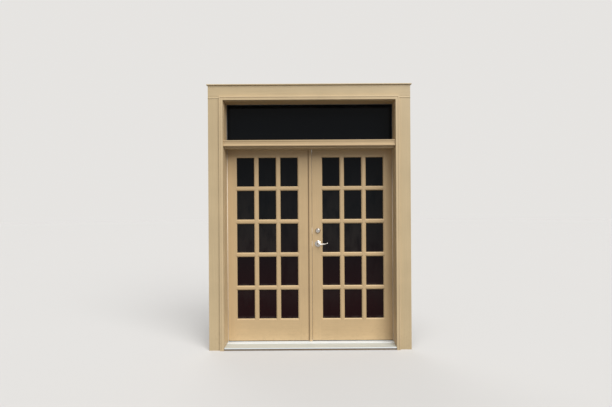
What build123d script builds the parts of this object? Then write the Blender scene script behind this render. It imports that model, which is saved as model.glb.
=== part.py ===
from build123d import *
import math
import os

# A pair of glazed doors in their own frame, with a fixed light above them and the outside
# trim boards. Millimetres. X is to the right as seen from outside, Y points indoors and Z
# is up. The origin is under the middle of the sill, in the plane of the wall's outside face.

# Leaves
leaf_width = 864.0
leaf_height = 2032.0
leaf_thickness = 44.5
stile_width = 108.0
top_rail_height = 88.0
bottom_rail_height = 230.0
lite_columns = 3
lite_rows = 5
upright_bar_width = 47.0
cross_bar_width = 44.5

# Moulded edge beside the glass: a small step, an ovolo, a lip, then the glass rabbet
ovolo_step = 2.0
ovolo_radius = 10.0
ovolo_lip = 2.0
glass_bite = 9.5
glass_thickness = 6.0
glass_bed = 0.3
glass_edge_gap = 1.5
bead_gap = 0.2
bead_setback = 1.0
bead_chamfer = 6.0

# Gaps round the leaves
hinge_gap = 3.0
head_gap = 3.0
meeting_gap = 45.0
seal_space = 8.0
sweep_space = 8.0

# Frame
jamb_thickness = 31.75
jamb_depth = 190.0
rabbet_depth = 12.7
transom_bar_height = 82.0
transom_bar_fall = 4.0
transom_light_height = 400.0
transom_bead_depth = 25.0
seal_kerf_width = 3.0
seal_kerf_depth = 10.0
seal_bulb_width = 11.0
seal_bulb_round = 2.5
seal_clearance = 0.3

# Sill
sill_height = 38.0
sill_base_height = 16.0
sill_base_setback = 15.0
sill_nose_height = 30.0
sill_nose_drop = 11.0
sill_nose_radius = 4.0
sill_end_round = 8.0
sill_deck_rise = 3.5
sill_cap_front = 65.0
sill_cap_radius = 3.0
sill_side_gap = 0.3

# Outside trim
border_width = 40.0
border_thickness = 45.0
border_reveal = 3.0
border_groove_width = 5.0
border_groove_depth = 3.0
border_groove_place = 24.0
border_round = 3.0
casing_width = 114.3
casing_thickness = 25.0
casing_round = 1.5
fillet_height = 31.0
fillet_bead = 16.0
fillet_thickness = 28.0
head_cap_height = 12.0
head_cap_overhang = 12.0
head_cap_round = 4.0
bar_cover_height = 60.0
bar_cover_thickness = 30.0
bar_cover_bead = 12.0
bar_cover_recess = 4.0
bar_cover_top_gap = 1.0

# Hinges
hinge_height = 101.6
hinge_leaf_width = 30.0
hinge_leaf_thickness = 2.5
hinge_barrel_radius = 6.5
hinge_pin_radius = 3.2
hinge_pin_clearance = 0.05
hinge_pin_offset = 7.0
hinge_knuckles = 5
hinge_knuckle_gap = 0.3
hinge_tip_height = 3.5
hinge_tip_radius = 5.0
hinge_tip_chamfer = 1.2
hinge_neck_overlap = 1.0
top_hinge_drop = 178.0
bottom_hinge_rise = 279.0

# Post between the leaves
astragal_clearance = 3.2
astragal_shoulder = 12.0
astragal_shoulder_recess = 3.0
astragal_projection = 12.0
astragal_round = 4.0
astragal_foot_gap = 1.5
astragal_stop_gap = 2.0
astragal_seal_width = 5.0
astragal_seal_proud = 1.5

# Flush bolts in the post
flush_bolt_radius = 4.0
flush_bolt_length = 190.0
flush_bolt_travel = 19.0
flush_bolt_clearance = 0.4
flush_bolt_setback = 1.0
flush_bolt_inset = 20.0
flush_bolt_depth = 24.0
finger_tab_height = 14.0
finger_tab_width = 7.0
finger_slot_margin = 1.0
keeper_length = 50.0
keeper_width = 20.0
keeper_thickness = 2.0

# Locks in the leaf on the right
lever_height_in_leaf = 1026.0
lock_spacing = 139.7
backset = 60.3
cross_bore_radius = 27.0
edge_bore_radius = 12.7
faceplate_width = 25.4
faceplate_height = 57.15
faceplate_thickness = 2.5
faceplate_round = 6.0
lock_case_radius = 12.0
lock_case_overrun = 14.0
strike_thickness = 2.0
strike_margin = 2.0
deadbolt_radius = 9.0
deadbolt_throw = 25.4
deadbolt_length = 50.0
deadbolt_chamfer = 1.0
bolt_clearance = 0.3
bolt_setback = 0.2
bolt_pocket_clearance = 1.5
bolt_pocket_spare = 2.0
latch_width = 12.7
latch_height = 15.0
latch_throw = 12.7
latch_length = 30.0
latch_tip_flat = 3.0

# Lever set
rose_radius = 33.3
rose_thickness = 9.0
rose_lip = 3.0
rose_seat_radius = 14.0
lever_neck_radius = 9.5
lever_neck_chamfer = 1.5
lever_clearance = 0.1
lever_reach = 46.0
lever_arm_depth = 10.0
lever_arm_chamfer = 1.5

# The lever's arm: distance from its axis, height of its middle, half of its height
lever_stations = [
    (0.0, 0.0, 8.5),
    (26.0, -3.2, 7.4),
    (52.0, -4.6, 6.5),
    (78.0, 0.4, 6.0),
    (99.0, 9.0, 5.0),
]
spindle_width = 8.0
spindle_hole_clearance = 0.5
spindle_bite = 20.0

# Deadbolt trim
collar_radius = 28.5
collar_face_radius = 21.0
collar_projection = 17.0
collar_lip = 3.0
collar_body_radius = 22.0
collar_body_depth = 9.0
plug_radius = 6.5
plug_clearance = 0.08
keyway_width = 2.2
keyway_height = 8.5
keyway_depth = 8.0
tail_width = 6.0
tail_thickness = 2.4
turn_plate_radius = 28.5
turn_plate_thickness = 8.0
turn_plate_chamfer = 2.5
turn_stem_radius = 6.0
turn_grip_length = 36.0
turn_grip_thickness = 10.0
turn_grip_depth = 18.0
turn_grip_bite = 0.5
tail_bite = 6.0

# Bottom sweeps
sweep_width = 34.0
sweep_plate = 2.5
sweep_fins = 4
sweep_fin_thickness = 2.0
sweep_floor_gap = 0.7
sweep_end_gap = 1.0

# Derived places
leaf_front = jamb_depth - leaf_thickness
leaf_bottom = sill_height + sweep_space
leaf_top = leaf_bottom + leaf_height
leaf_centre = (leaf_width + meeting_gap) / 2
leaf_edge = leaf_width + meeting_gap / 2
rabbet_face = leaf_edge + hinge_gap
stop_face = rabbet_face - rabbet_depth
jamb_back = stop_face + jamb_thickness
shoulder = leaf_front - seal_space
bar_rabbet = leaf_top + head_gap
bar_bottom = bar_rabbet - rabbet_depth
bar_top = bar_bottom + transom_bar_height
soffit = bar_top + transom_light_height
head_rabbet = soffit + rabbet_depth
head_top = soffit + jamb_thickness
border_inner = stop_face + border_reveal
border_outer = border_inner + border_width
border_soffit = soffit + border_reveal
border_top = border_soffit + border_width
casing_outer = border_outer + casing_width
casing_side_top = border_top - fillet_height
casing_top = border_top + casing_width
sill_cap_edge = leaf_front - sill_cap_front
pin_x = leaf_edge + hinge_gap / 2
pin_y = jamb_depth + hinge_pin_offset
post_left = -meeting_gap / 2
post_right = meeting_gap / 2 - astragal_clearance
post_bottom = sill_height + astragal_foot_gap
active_edge = meeting_gap / 2
lock_x = active_edge + backset
lock_y = leaf_front + leaf_thickness / 2
lever_z = leaf_bottom + lever_height_in_leaf
deadbolt_z = lever_z + lock_spacing
bolt_x = (post_left + post_right) / 2
ovolo_width = ovolo_step + ovolo_radius
glass_seat = ovolo_step + ovolo_radius + ovolo_lip
glass_back = glass_seat + glass_bed + glass_thickness

lite_zone_width = leaf_width - 2 * stile_width
lite_zone_height = leaf_height - top_rail_height - bottom_rail_height
lite_width = (lite_zone_width - (lite_columns - 1) * upright_bar_width) / lite_columns
lite_height = (lite_zone_height - (lite_rows - 1) * cross_bar_width) / lite_rows
lite_pitch_x = lite_width + upright_bar_width
lite_pitch_z = lite_height + cross_bar_width
zone_bottom = leaf_bottom + bottom_rail_height
hinge_heights = [
    leaf_bottom + bottom_hinge_rise,
    (leaf_bottom + bottom_hinge_rise + leaf_top - top_hinge_drop) / 2,
    leaf_top - top_hinge_drop,
]

# Sections that run along X are drawn as (Z, Y) on this plane and extruded towards -X
section_along_x = Plane(origin=(0, 0, 0), x_dir=(0, 0, 1), z_dir=(-1, 0, 0))


def outline(*points):
    return make_face(Polyline(*points, close=True))


def box(x0, x1, y0, y1, z0, z1):
    centre = Pos((x0 + x1) / 2, (y0 + y1) / 2, (z0 + z1) / 2)
    return centre * Box(x1 - x0, y1 - y0, z1 - z0)


def run_up(section, z0, z1):
    return extrude(Pos(0, 0, z0) * section, amount=z1 - z0)


def run_across(section, x0, x1):
    return Pos(x1, 0, 0) * extrude(section_along_x * section, amount=x1 - x0)


def mirrored(solid):
    return mirror(solid, about=Plane.YZ)


def rod_y(radius, x, z, y0, y1):
    return Pos(x, (y0 + y1) / 2, z) * Rot(90, 0, 0) * Cylinder(radius, y1 - y0)


def rod_x(radius, y, z, x0, x1):
    return Pos((x0 + x1) / 2, y, z) * Rot(0, 90, 0) * Cylinder(radius, x1 - x0)


def rod_z(radius, x, y, z0, z1):
    return Pos(x, y, (z0 + z1) / 2) * Cylinder(radius, z1 - z0)


def group(solids):
    return Compound(children=[part.solid() for part in solids])


# Leaf members. A section is drawn across the member from its outside arris, with Y as depth


def moulded_edge():
    """Wood taken off one edge beside the glass, with the sight line at zero."""
    arc_mid = ovolo_radius * (1 - math.sqrt(0.5))
    ovolo = Polyline((0, ovolo_width), (0, 0), (ovolo_width, 0), (ovolo_width, ovolo_step))
    ovolo += Line((ovolo_width, ovolo_step), (ovolo_radius, ovolo_step))
    ovolo += ThreePointArc(
        (ovolo_radius, ovolo_step), (arc_mid, ovolo_step + arc_mid), (0, ovolo_width)
    )
    rabbet = Rectangle(glass_bite, leaf_thickness - glass_seat, align=(Align.MIN, Align.MIN))
    return make_face(ovolo) + Pos(0, glass_seat) * rabbet


def member_section(width, low_edge, high_edge):
    """Section of a stile, rail or bar from 0 to its width, moulded on one edge or both."""
    section = Rectangle(width, leaf_thickness, align=(Align.MIN, Align.MIN))
    if low_edge:
        section -= moulded_edge()
    if high_edge:
        section -= Pos(width, 0) * mirror(moulded_edge(), about=Plane.YZ)
    return Pos(0, leaf_front) * section


def stile_left():
    section = Pos(-leaf_width / 2, 0) * member_section(stile_width, False, True)
    return run_up(section, leaf_bottom, leaf_top)


def rail(z0, height, low_edge, high_edge):
    section = Pos(z0, 0) * member_section(height, low_edge, high_edge)
    reach = lite_zone_width / 2 + ovolo_width
    return run_across(section, -reach, reach) - stile_left() - mirrored(stile_left())


def bottom_rail():
    return rail(leaf_bottom, bottom_rail_height, False, True)


def top_rail():
    return rail(leaf_top - top_rail_height, top_rail_height, True, False)


def upright_bar_prism(index):
    x0 = -lite_zone_width / 2 + index * lite_pitch_x - upright_bar_width
    section = Pos(x0, 0) * member_section(upright_bar_width, True, True)
    z0 = zone_bottom - ovolo_width
    return run_up(section, z0, zone_bottom + lite_zone_height + ovolo_width)


def upright_bars():
    rails = bottom_rail() + top_rail()
    return [upright_bar_prism(index) - rails for index in range(1, lite_columns)]


def cross_bars():
    """Short bars between the uprights, coped over their mouldings, for every row."""
    first = zone_bottom + lite_height
    section = Pos(first, 0) * member_section(cross_bar_width, True, True)
    sides = [stile_left()]
    sides += [upright_bar_prism(index) for index in range(1, lite_columns)]
    sides += [mirrored(stile_left())]
    bars = []
    for column in range(lite_columns):
        x0 = -lite_zone_width / 2 + column * lite_pitch_x
        low = x0 - ovolo_width
        high = x0 + lite_width + ovolo_width
        bar = run_across(section, low, high) - sides[column] - sides[column + 1]
        for row in range(lite_rows - 1):
            bars.append(Pos(0, 0, row * lite_pitch_z) * bar)
    return bars


def lite_centres():
    centres = []
    for column in range(lite_columns):
        for row in range(lite_rows):
            x = -lite_zone_width / 2 + column * lite_pitch_x + lite_width / 2
            z = zone_bottom + row * lite_pitch_z + lite_height / 2
            centres.append(Pos(x, 0, z))
    return centres


def panes():
    margin = 2 * (glass_bite - glass_edge_gap)
    pane = Box(lite_width + margin, glass_thickness, lite_height + margin)
    y = leaf_front + glass_seat + glass_bed + glass_thickness / 2
    return [centre * Pos(0, y, 0) * pane for centre in lite_centres()]


def bead_strip(length, face, depth, chamfer, y0):
    """One mitred glazing strip along X, sight line at z = 0, its back at z = -face."""
    y1 = y0 + depth
    arris = (0, y1 - chamfer), (-chamfer, y1)
    section = outline((0, y0), *arris, (-face, y1), (-face, y0))
    strip = run_across(section, -length / 2 - face, length / 2 + face)
    for side in (-1, 1):
        corner = Plane(origin=(side * length / 2, 0, 0), z_dir=(-side, 0, -1))
        strip = split(strip, bisect_by=corner, keep=Keep.TOP)
    return strip


def bead_ring(width, height, face, depth, chamfer, y0):
    """Four strips round one pane, centred on the origin."""
    across = Pos(0, 0, -height / 2) * bead_strip(width, face, depth, chamfer, y0)
    upright = Pos(0, 0, -width / 2) * bead_strip(height, face, depth, chamfer, y0)
    ring = [across, Rot(0, 180, 0) * across]
    ring += [Rot(0, 90, 0) * upright, Rot(0, -90, 0) * upright]
    return ring


def glazing_beads():
    face = glass_bite - bead_gap
    depth = leaf_thickness - glass_back - bead_gap - bead_setback
    y0 = leaf_front + glass_back + bead_gap
    ring = bead_ring(lite_width, lite_height, face, depth, bead_chamfer, y0)
    return [centre * strip for centre in lite_centres() for strip in ring]


def bottom_sweep():
    """Flexible strip under a leaf: a thin plate with fins that stop above the sill."""
    y0 = leaf_front + (leaf_thickness - sweep_width) / 2
    half = leaf_width / 2 - sweep_end_gap
    plate_bottom = leaf_bottom - sweep_plate
    sweep = box(-half, half, y0, y0 + sweep_width, plate_bottom, leaf_bottom)
    step = (sweep_width - sweep_fin_thickness) / (sweep_fins - 1)
    for index in range(sweep_fins):
        fin_y = y0 + index * step
        fin_end = fin_y + sweep_fin_thickness
        sweep += box(-half, half, fin_y, fin_end, sill_height + sweep_floor_gap, plate_bottom)
    return sweep


# Hinges, drawn for the left side with the pin upright


def knuckle_spans(first):
    """Ends of every other knuckle of one hinge, starting with the given one."""
    pitch = hinge_height / hinge_knuckles
    spans = []
    for index in range(first, hinge_knuckles, 2):
        z0 = -hinge_height / 2 + index * pitch + hinge_knuckle_gap / 2
        spans.append((z0, z0 + pitch - hinge_knuckle_gap))
    return spans


def hinge_plate(face, outward):
    """Flat plate let into a wood edge. Its shape is also that of its mortise."""
    x0, x1 = sorted((face, face + outward * hinge_leaf_thickness))
    half = hinge_height / 2
    return box(x0, x1, jamb_depth - hinge_leaf_width, jamb_depth, -half, half)


def hinge_leaf(first, face, outward):
    """Plate with the necks that carry its knuckles."""
    x0, x1 = sorted((face, face + outward * hinge_leaf_thickness))
    leaf = hinge_plate(face, outward)
    hole = hinge_pin_radius + hinge_pin_clearance
    for z0, z1 in knuckle_spans(first):
        leaf += box(x0, x1, jamb_depth - hinge_neck_overlap, pin_y, z0, z1)
        leaf += rod_z(hinge_barrel_radius, -pin_x, pin_y, z0, z1)
        leaf -= rod_z(hole, -pin_x, pin_y, z0, z1)
    return leaf


def hinge_pin():
    half = hinge_height / 2
    pin = rod_z(hinge_pin_radius, -pin_x, pin_y, -half, half)
    tip = rod_z(hinge_tip_radius, -pin_x, pin_y, half, half + hinge_tip_height)
    tip = chamfer(tip.edges().group_by(Axis.Z)[-1], hinge_tip_chamfer)
    return pin + tip + mirror(tip, about=Plane.XY)


def at_hinges(solid):
    return [Pos(0, 0, z) * solid for z in hinge_heights]


# Frame


def jamb_left():
    section = outline(
        (-jamb_back, 0),
        (-stop_face, 0),
        (-stop_face, shoulder),
        (-rabbet_face, shoulder),
        (-rabbet_face, jamb_depth),
        (-jamb_back, jamb_depth),
    )
    jamb = run_up(section, 0, head_top)
    kerf = kerf_section(-(stop_face + rabbet_face) / 2)
    jamb -= run_up(kerf, sill_height, bar_bottom)
    for mortise in at_hinges(hinge_plate(-rabbet_face, -1)):
        jamb -= mortise
    return jamb


def kerf_section(place):
    """Slot for the seal's barb, cut into the shoulder of a rabbet at this place."""
    kerf = Rectangle(seal_kerf_width, seal_kerf_depth, align=(Align.CENTER, Align.MAX))
    return Pos(place, shoulder) * kerf


def rabbeted_outline(z_stop, z_rabbet, z_back, z_back_outside):
    """(Z, Y) outline of a board with one rabbet on its indoor side."""
    return outline(
        (z_stop, 0),
        (z_stop, shoulder),
        (z_rabbet, shoulder),
        (z_rabbet, jamb_depth),
        (z_back, jamb_depth),
        (z_back_outside, 0),
    )


def head_jamb():
    section = rabbeted_outline(soffit, head_rabbet, head_top, head_top)
    head = run_across(section, -rabbet_face, rabbet_face)
    return head - jamb_left() - mirrored(jamb_left())


def transom_bar():
    """Bar over the leaves: rabbeted below for them and above for the fixed glass."""
    section = outline(
        (bar_bottom, 0),
        (bar_bottom, shoulder),
        (bar_rabbet, shoulder),
        (bar_rabbet, jamb_depth),
        (bar_top - rabbet_depth, jamb_depth),
        (bar_top - rabbet_depth, shoulder),
        (bar_top, shoulder),
        (bar_top - transom_bar_fall, 0),
    )
    section -= kerf_section((bar_bottom + bar_rabbet) / 2)
    bar = run_across(section, -rabbet_face, rabbet_face)
    bar -= jamb_left() + mirrored(jamb_left())
    hole = flush_bolt_radius + flush_bolt_clearance
    bar -= rod_z(hole, bolt_x, lock_y, bar_rabbet, bar_rabbet + flush_bolt_depth)
    return bar - top_keeper_blank()


def transom_bar_cover():
    """Moulded strip over the outside edge of the bar, proud at its top and bottom."""
    top = bar_top - transom_bar_fall + bar_cover_top_gap
    bottom = top - bar_cover_height
    inner = -bar_cover_thickness + bar_cover_recess
    section = outline(
        (bottom, 0),
        (bottom, -bar_cover_thickness),
        (bottom + bar_cover_bead, -bar_cover_thickness),
        (bottom + bar_cover_bead + bar_cover_recess, inner),
        (top - bar_cover_bead - bar_cover_recess, inner),
        (top - bar_cover_bead, -bar_cover_thickness),
        (top, -bar_cover_thickness),
        (top, 0),
    )
    return run_across(section, -border_inner, border_inner)


def transom_pane():
    half = rabbet_face - hinge_gap
    y0 = shoulder + glass_bed
    z0 = bar_top - rabbet_depth + head_gap
    return box(-half, half, y0, y0 + glass_thickness, z0, head_rabbet - head_gap)


def transom_beads():
    face = rabbet_depth - bead_gap
    y0 = shoulder + glass_bed + glass_thickness + bead_gap
    height = soffit - bar_top
    ring = bead_ring(2 * stop_face, height, face, transom_bead_depth, bead_chamfer, y0)
    return [Pos(0, 0, (bar_top + soffit) / 2) * strip for strip in ring]


# Sill


def sill_plan():
    """Plan of the sill, which fills the steps of the jambs and ends between the borders."""
    nose = border_inner - sill_side_gap
    stop = stop_face - sill_side_gap
    inner = rabbet_face - sill_side_gap
    half = [(nose, -border_thickness), (nose, 0), (stop, 0), (stop, shoulder)]
    half += [(inner, shoulder), (inner, jamb_depth)]
    left = [(-x, y) for x, y in reversed(half)]
    plan = outline(*half, *left)
    plan = fillet(plan.vertices().group_by(Axis.Y)[0], sill_end_round)
    return run_up(plan, 0, sill_height)


def sill_base():
    section = outline(
        (0, -border_thickness + sill_base_setback),
        (sill_base_height, -border_thickness + sill_base_setback),
        (sill_base_height, jamb_depth),
        (0, jamb_depth),
    )
    return (run_across(section, -rabbet_face, rabbet_face) & sill_plan()) - bottom_bolt_hole()


def sill_deck():
    """Sloping outside part, with a rounded nose that drips clear of the base."""
    lip = sill_nose_height - sill_nose_drop
    section = outline(
        (lip, -border_thickness),
        (sill_nose_height, -border_thickness),
        (sill_nose_height + sill_deck_rise, sill_cap_edge),
        (sill_base_height, sill_cap_edge),
        (sill_base_height, -border_thickness + sill_base_setback),
        (lip, -border_thickness + sill_base_setback),
    )
    deck = run_across(section, -rabbet_face, rabbet_face)
    nose_edge = deck.edges().filter_by(Axis.X).group_by(Axis.Y)[0].sort_by(Axis.Z)[-1]
    return fillet(nose_edge, sill_nose_radius) & sill_plan()


def sill_cap():
    section = outline(
        (sill_base_height, sill_cap_edge),
        (sill_height, sill_cap_edge),
        (sill_height, jamb_depth),
        (sill_base_height, jamb_depth),
    )
    cap = run_across(section, -rabbet_face, rabbet_face)
    front_edge = cap.edges().filter_by(Axis.X).group_by(Axis.Y)[0].sort_by(Axis.Z)[-1]
    cap = fillet(front_edge, sill_cap_radius) & sill_plan()
    return cap - bottom_bolt_hole() - bottom_keeper_blank()


# Outside trim


def border_section():
    """(X, Y) section from the inner edge at zero, with a groove and eased arrises."""
    face = Rectangle(border_width, border_thickness, align=(Align.MIN, Align.MAX))
    face = fillet(face.vertices().group_by(Axis.Y)[0], border_round)
    groove = Rectangle(border_groove_width, border_groove_depth * 2)
    return face - Pos(border_groove_place, -border_thickness) * groove


def border_right():
    upright = run_up(Pos(border_inner, 0) * border_section(), 0, border_top)
    mitre = Plane(origin=(border_inner, 0, border_soffit), z_dir=(1, 0, -1))
    return split(upright, bisect_by=mitre, keep=Keep.TOP)


def border_head():
    head = run_across(Pos(border_soffit, 0) * border_section(), -border_outer, border_outer)
    for side in (-1, 1):
        mitre = Plane(origin=(side * border_inner, 0, border_soffit), z_dir=(-side, 0, 1))
        head = split(head, bisect_by=mitre, keep=Keep.TOP)
    return head


def casing_section():
    face = Rectangle(casing_width, casing_thickness, align=(Align.MIN, Align.MAX))
    return fillet(face.vertices().group_by(Axis.Y)[0], casing_round)


def casing_right():
    return run_up(Pos(border_outer, 0) * casing_section(), 0, casing_side_top)


def casing_head():
    return run_across(Pos(border_top, 0) * casing_section(), -casing_outer, casing_outer)


def casing_fillet_right():
    """Short strip with a round bead between a side board and the head board."""
    strip = Rectangle(fillet_height, casing_thickness, align=(Align.MIN, Align.MAX))
    bead_centre = fillet_height / 2, -fillet_thickness + fillet_bead / 2
    strip += Pos(*bead_centre) * Circle(fillet_bead / 2)
    return run_across(Pos(casing_side_top, 0) * strip, border_outer, casing_outer)


def head_cap():
    reach = casing_outer + head_cap_overhang
    front = casing_thickness + head_cap_overhang
    cap = box(-reach, reach, -front, 0, casing_top, casing_top + head_cap_height)
    nose = cap.edges().filter_by(Axis.X).group_by(Axis.Y)[0]
    return fillet(nose, head_cap_round)


# Seals


def seal_section():
    """Bulb that faces the leaf and a barb that sits in the kerf."""
    bulb_depth = seal_space - seal_clearance
    bulb = RectangleRounded(seal_bulb_width, bulb_depth, seal_bulb_round)
    barb_width = seal_kerf_width - seal_clearance
    barb = Rectangle(barb_width, seal_kerf_depth, align=(Align.CENTER, Align.MAX))
    return Pos(0, bulb_depth / 2) * bulb + Pos(0, seal_clearance) * barb


def seal_left():
    section = Pos(-(stop_face + rabbet_face) / 2, shoulder) * seal_section()
    return run_up(section, sill_height + seal_clearance, bar_bottom - seal_clearance)


def seal_head():
    section = Pos((bar_bottom + bar_rabbet) / 2, shoulder) * seal_section()
    reach = (stop_face + rabbet_face) / 2 - seal_bulb_width / 2 - seal_clearance
    return run_across(section, -reach, reach) - jamb_left() - mirrored(jamb_left())


# Post between the leaves, with its bolts and strikes


def bolt_bore(z0, z1):
    return rod_z(flush_bolt_radius + flush_bolt_clearance, bolt_x, lock_y, z0, z1)


def finger_slot(z0, z1):
    """Slot in the post's edge that the bolt's finger tab runs in."""
    half = finger_tab_width / 2 + flush_bolt_clearance
    return box(bolt_x, post_right, lock_y - half, lock_y + half, z0, z1)


def strike_blank(z):
    half = faceplate_height / 2
    y0 = lock_y - faceplate_width / 2
    x0 = post_right - strike_thickness
    return box(x0, post_right, y0, y0 + faceplate_width, z - half, z + half)


def deadbolt_pocket():
    end = active_edge - deadbolt_throw - bolt_pocket_spare
    return rod_x(deadbolt_radius + bolt_pocket_clearance, lock_y, deadbolt_z, end, post_right)


def latch_pocket():
    end = active_edge - latch_throw - bolt_pocket_spare
    return latch_box(bolt_pocket_clearance, end, post_right)


def latch_box(clearance, x0, x1):
    half_y = latch_width / 2 + clearance
    half_z = latch_height / 2 + clearance
    return box(x0, x1, lock_y - half_y, lock_y + half_y, lever_z - half_z, lever_z + half_z)


def astragal():
    """Post fixed to the left leaf: a proud face on the right, a sunk shoulder on the left."""
    body_front = leaf_front + astragal_shoulder_recess
    body = box(post_left, post_right, body_front, jamb_depth, post_bottom, leaf_top)
    face_left = post_left + astragal_shoulder
    face_top = bar_bottom - astragal_stop_gap
    face_front = leaf_front - astragal_projection
    face = box(face_left, post_right, face_front, body_front, post_bottom, face_top)
    arrises = face.edges().filter_by(Axis.Z).group_by(Axis.Y)[0]
    post = body + fillet(arrises, astragal_round)
    bore_length = flush_bolt_length + flush_bolt_setback + flush_bolt_travel
    slot_length = finger_tab_height + flush_bolt_travel + 2 * finger_slot_margin
    low_tab = low_bolt_end() + flush_bolt_length - flush_bolt_inset - finger_tab_height
    high_tab = high_bolt_end() - flush_bolt_length + flush_bolt_inset
    post -= bolt_bore(post_bottom, post_bottom + bore_length)
    post -= bolt_bore(leaf_top - bore_length, leaf_top)
    low_start = low_tab - flush_bolt_travel - finger_slot_margin
    high_start = high_tab - finger_slot_margin
    post -= finger_slot(low_start, low_start + slot_length)
    post -= finger_slot(high_start, high_start + slot_length)
    post -= strike_blank(deadbolt_z) + deadbolt_pocket()
    post -= strike_blank(lever_z) + latch_pocket()
    for kerf in astragal_seal_kerf():
        post -= kerf
    return post


def astragal_seal_kerf():
    """Groove for the post's seal, in three stretches that miss the strikes."""
    y0 = jamb_depth - 2 * astragal_seal_width
    y1 = y0 + astragal_seal_width
    x0 = post_right - astragal_seal_width
    spans = seal_spans()
    return [box(x0, post_right, y0, y1, low, high) for low, high in spans]


def seal_spans():
    gap = faceplate_height / 2 + strike_margin
    return [
        (post_bottom + gap, lever_z - gap),
        (lever_z + gap, deadbolt_z - gap),
        (deadbolt_z + gap, leaf_top - gap),
    ]


def astragal_seal():
    """Brush strips that fill the groove and stand proud towards the other leaf."""
    y0 = jamb_depth - 2 * astragal_seal_width + seal_clearance
    y1 = y0 + astragal_seal_width - 2 * seal_clearance
    x0 = post_right - astragal_seal_width + seal_clearance
    x1 = post_right + astragal_seal_proud
    strips = []
    for low, high in seal_spans():
        strips.append(box(x0, x1, y0, y1, low + seal_clearance, high - seal_clearance))
    return strips


def strikes():
    deadbolt_strike = strike_blank(deadbolt_z) - deadbolt_pocket()
    return [deadbolt_strike, strike_blank(lever_z) - latch_pocket()]


def low_bolt_end():
    return post_bottom + flush_bolt_setback


def high_bolt_end():
    return leaf_top - flush_bolt_setback


def flush_bolt(end, inward):
    """Round bolt with a finger tab, from its working end inwards."""
    z0, z1 = sorted((end, end + inward * flush_bolt_length))
    tab_outer = end + inward * (flush_bolt_length - flush_bolt_inset)
    t0, t1 = sorted((tab_outer, tab_outer - inward * finger_tab_height))
    half = finger_tab_width / 2
    bolt = rod_z(flush_bolt_radius, bolt_x, lock_y, z0, z1)
    reach = post_right - flush_bolt_clearance
    return bolt + box(bolt_x, reach, lock_y - half, lock_y + half, t0, t1)


def keeper(z0):
    plate = Rectangle(keeper_length, keeper_width)
    return run_up(Pos(bolt_x, lock_y) * plate, z0, z0 + keeper_thickness)


def top_keeper_blank():
    return keeper(bar_rabbet)


def bottom_keeper_blank():
    return keeper(sill_height - keeper_thickness)


def bottom_bolt_hole():
    hole = flush_bolt_radius + flush_bolt_clearance
    depth = flush_bolt_travel + flush_bolt_clearance
    return rod_z(hole, bolt_x, lock_y, sill_height - depth, sill_height)


def bolt_keepers():
    top_hole = bolt_bore(bar_rabbet, bar_rabbet + keeper_thickness)
    return [top_keeper_blank() - top_hole, bottom_keeper_blank() - bottom_bolt_hole()]


# Locks


def faceplate_blank(z):
    plate = RectangleRounded(faceplate_width, faceplate_height, faceplate_round)
    side = Plane(origin=(active_edge, lock_y, z), x_dir=(0, 1, 0), z_dir=(1, 0, 0))
    return extrude(side * plate, amount=faceplate_thickness)


def lock_bores(z):
    edge_bore = rod_x(edge_bore_radius, lock_y, z, active_edge, lock_x)
    cross_bore = rod_y(cross_bore_radius, lock_x, z, leaf_front, jamb_depth)
    return edge_bore + cross_bore + faceplate_blank(z)


def lock_case(z, bolt_hole, turn_hole):
    """Tube behind a faceplate, bored for its bolt and for what turns it."""
    tube = rod_x(lock_case_radius, lock_y, z, active_edge, lock_x + lock_case_overrun)
    return faceplate_blank(z) + tube - bolt_hole - turn_hole


def deadbolt_case():
    back = active_edge + deadbolt_length + bolt_clearance
    hole = rod_x(deadbolt_radius + bolt_clearance, lock_y, deadbolt_z, active_edge, back)
    turn = rod_y(tail_hole_radius(), lock_x, deadbolt_z, leaf_front, jamb_depth)
    return lock_case(deadbolt_z, hole, turn)


def tail_hole_radius():
    return math.hypot(tail_width, tail_thickness) / 2 + spindle_hole_clearance


def deadbolt():
    front = active_edge + bolt_setback
    bolt = rod_x(deadbolt_radius, lock_y, deadbolt_z, front, front + deadbolt_length - bolt_setback)
    return chamfer(bolt.edges().group_by(Axis.X)[0], deadbolt_chamfer)


def latch_case():
    back = active_edge + latch_length + bolt_clearance
    hole = latch_box(bolt_clearance, active_edge, back)
    turn = rod_y(spindle_hole_radius(), lock_x, lever_z, leaf_front, jamb_depth)
    return lock_case(lever_z, hole, turn)


def spindle_hole_radius():
    return spindle_width * math.sqrt(2) / 2 + spindle_hole_clearance


def latch_bolt():
    """Spring bolt, bevelled on the side that meets its strike as the leaf closes."""
    front = active_edge + bolt_setback
    back = active_edge + latch_length
    outer = lock_y - latch_width / 2
    inner = lock_y + latch_width / 2
    section = outline(
        (front, inner),
        (back, inner),
        (back, outer),
        (front + latch_throw, outer),
        (front, inner - latch_tip_flat),
    )
    return run_up(section, lever_z - latch_height / 2, lever_z + latch_height / 2)


# Lever set. The outside lever is drawn, and the inside one is its mirror image


def mid_leaf_mirror(solid):
    return mirror(solid, about=Plane(origin=(0, lock_y, 0), z_dir=(0, 1, 0)))


def turned(profile, z):
    """Solid turned from (radius, height) points, standing on the outside of the leaf."""
    solid = revolve(Plane.XZ * profile, axis=Axis.Z)
    return Pos(lock_x, leaf_front, z) * Rot(90, 0, 0) * solid


def rose_outside():
    """Low tapered rose round the lever's neck."""
    hole = lever_neck_radius + lever_clearance
    profile = outline(
        (hole, 0),
        (rose_radius, 0),
        (rose_radius, rose_lip),
        (rose_seat_radius, rose_thickness),
        (hole, rose_thickness),
    )
    return turned(profile, lever_z)


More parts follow.
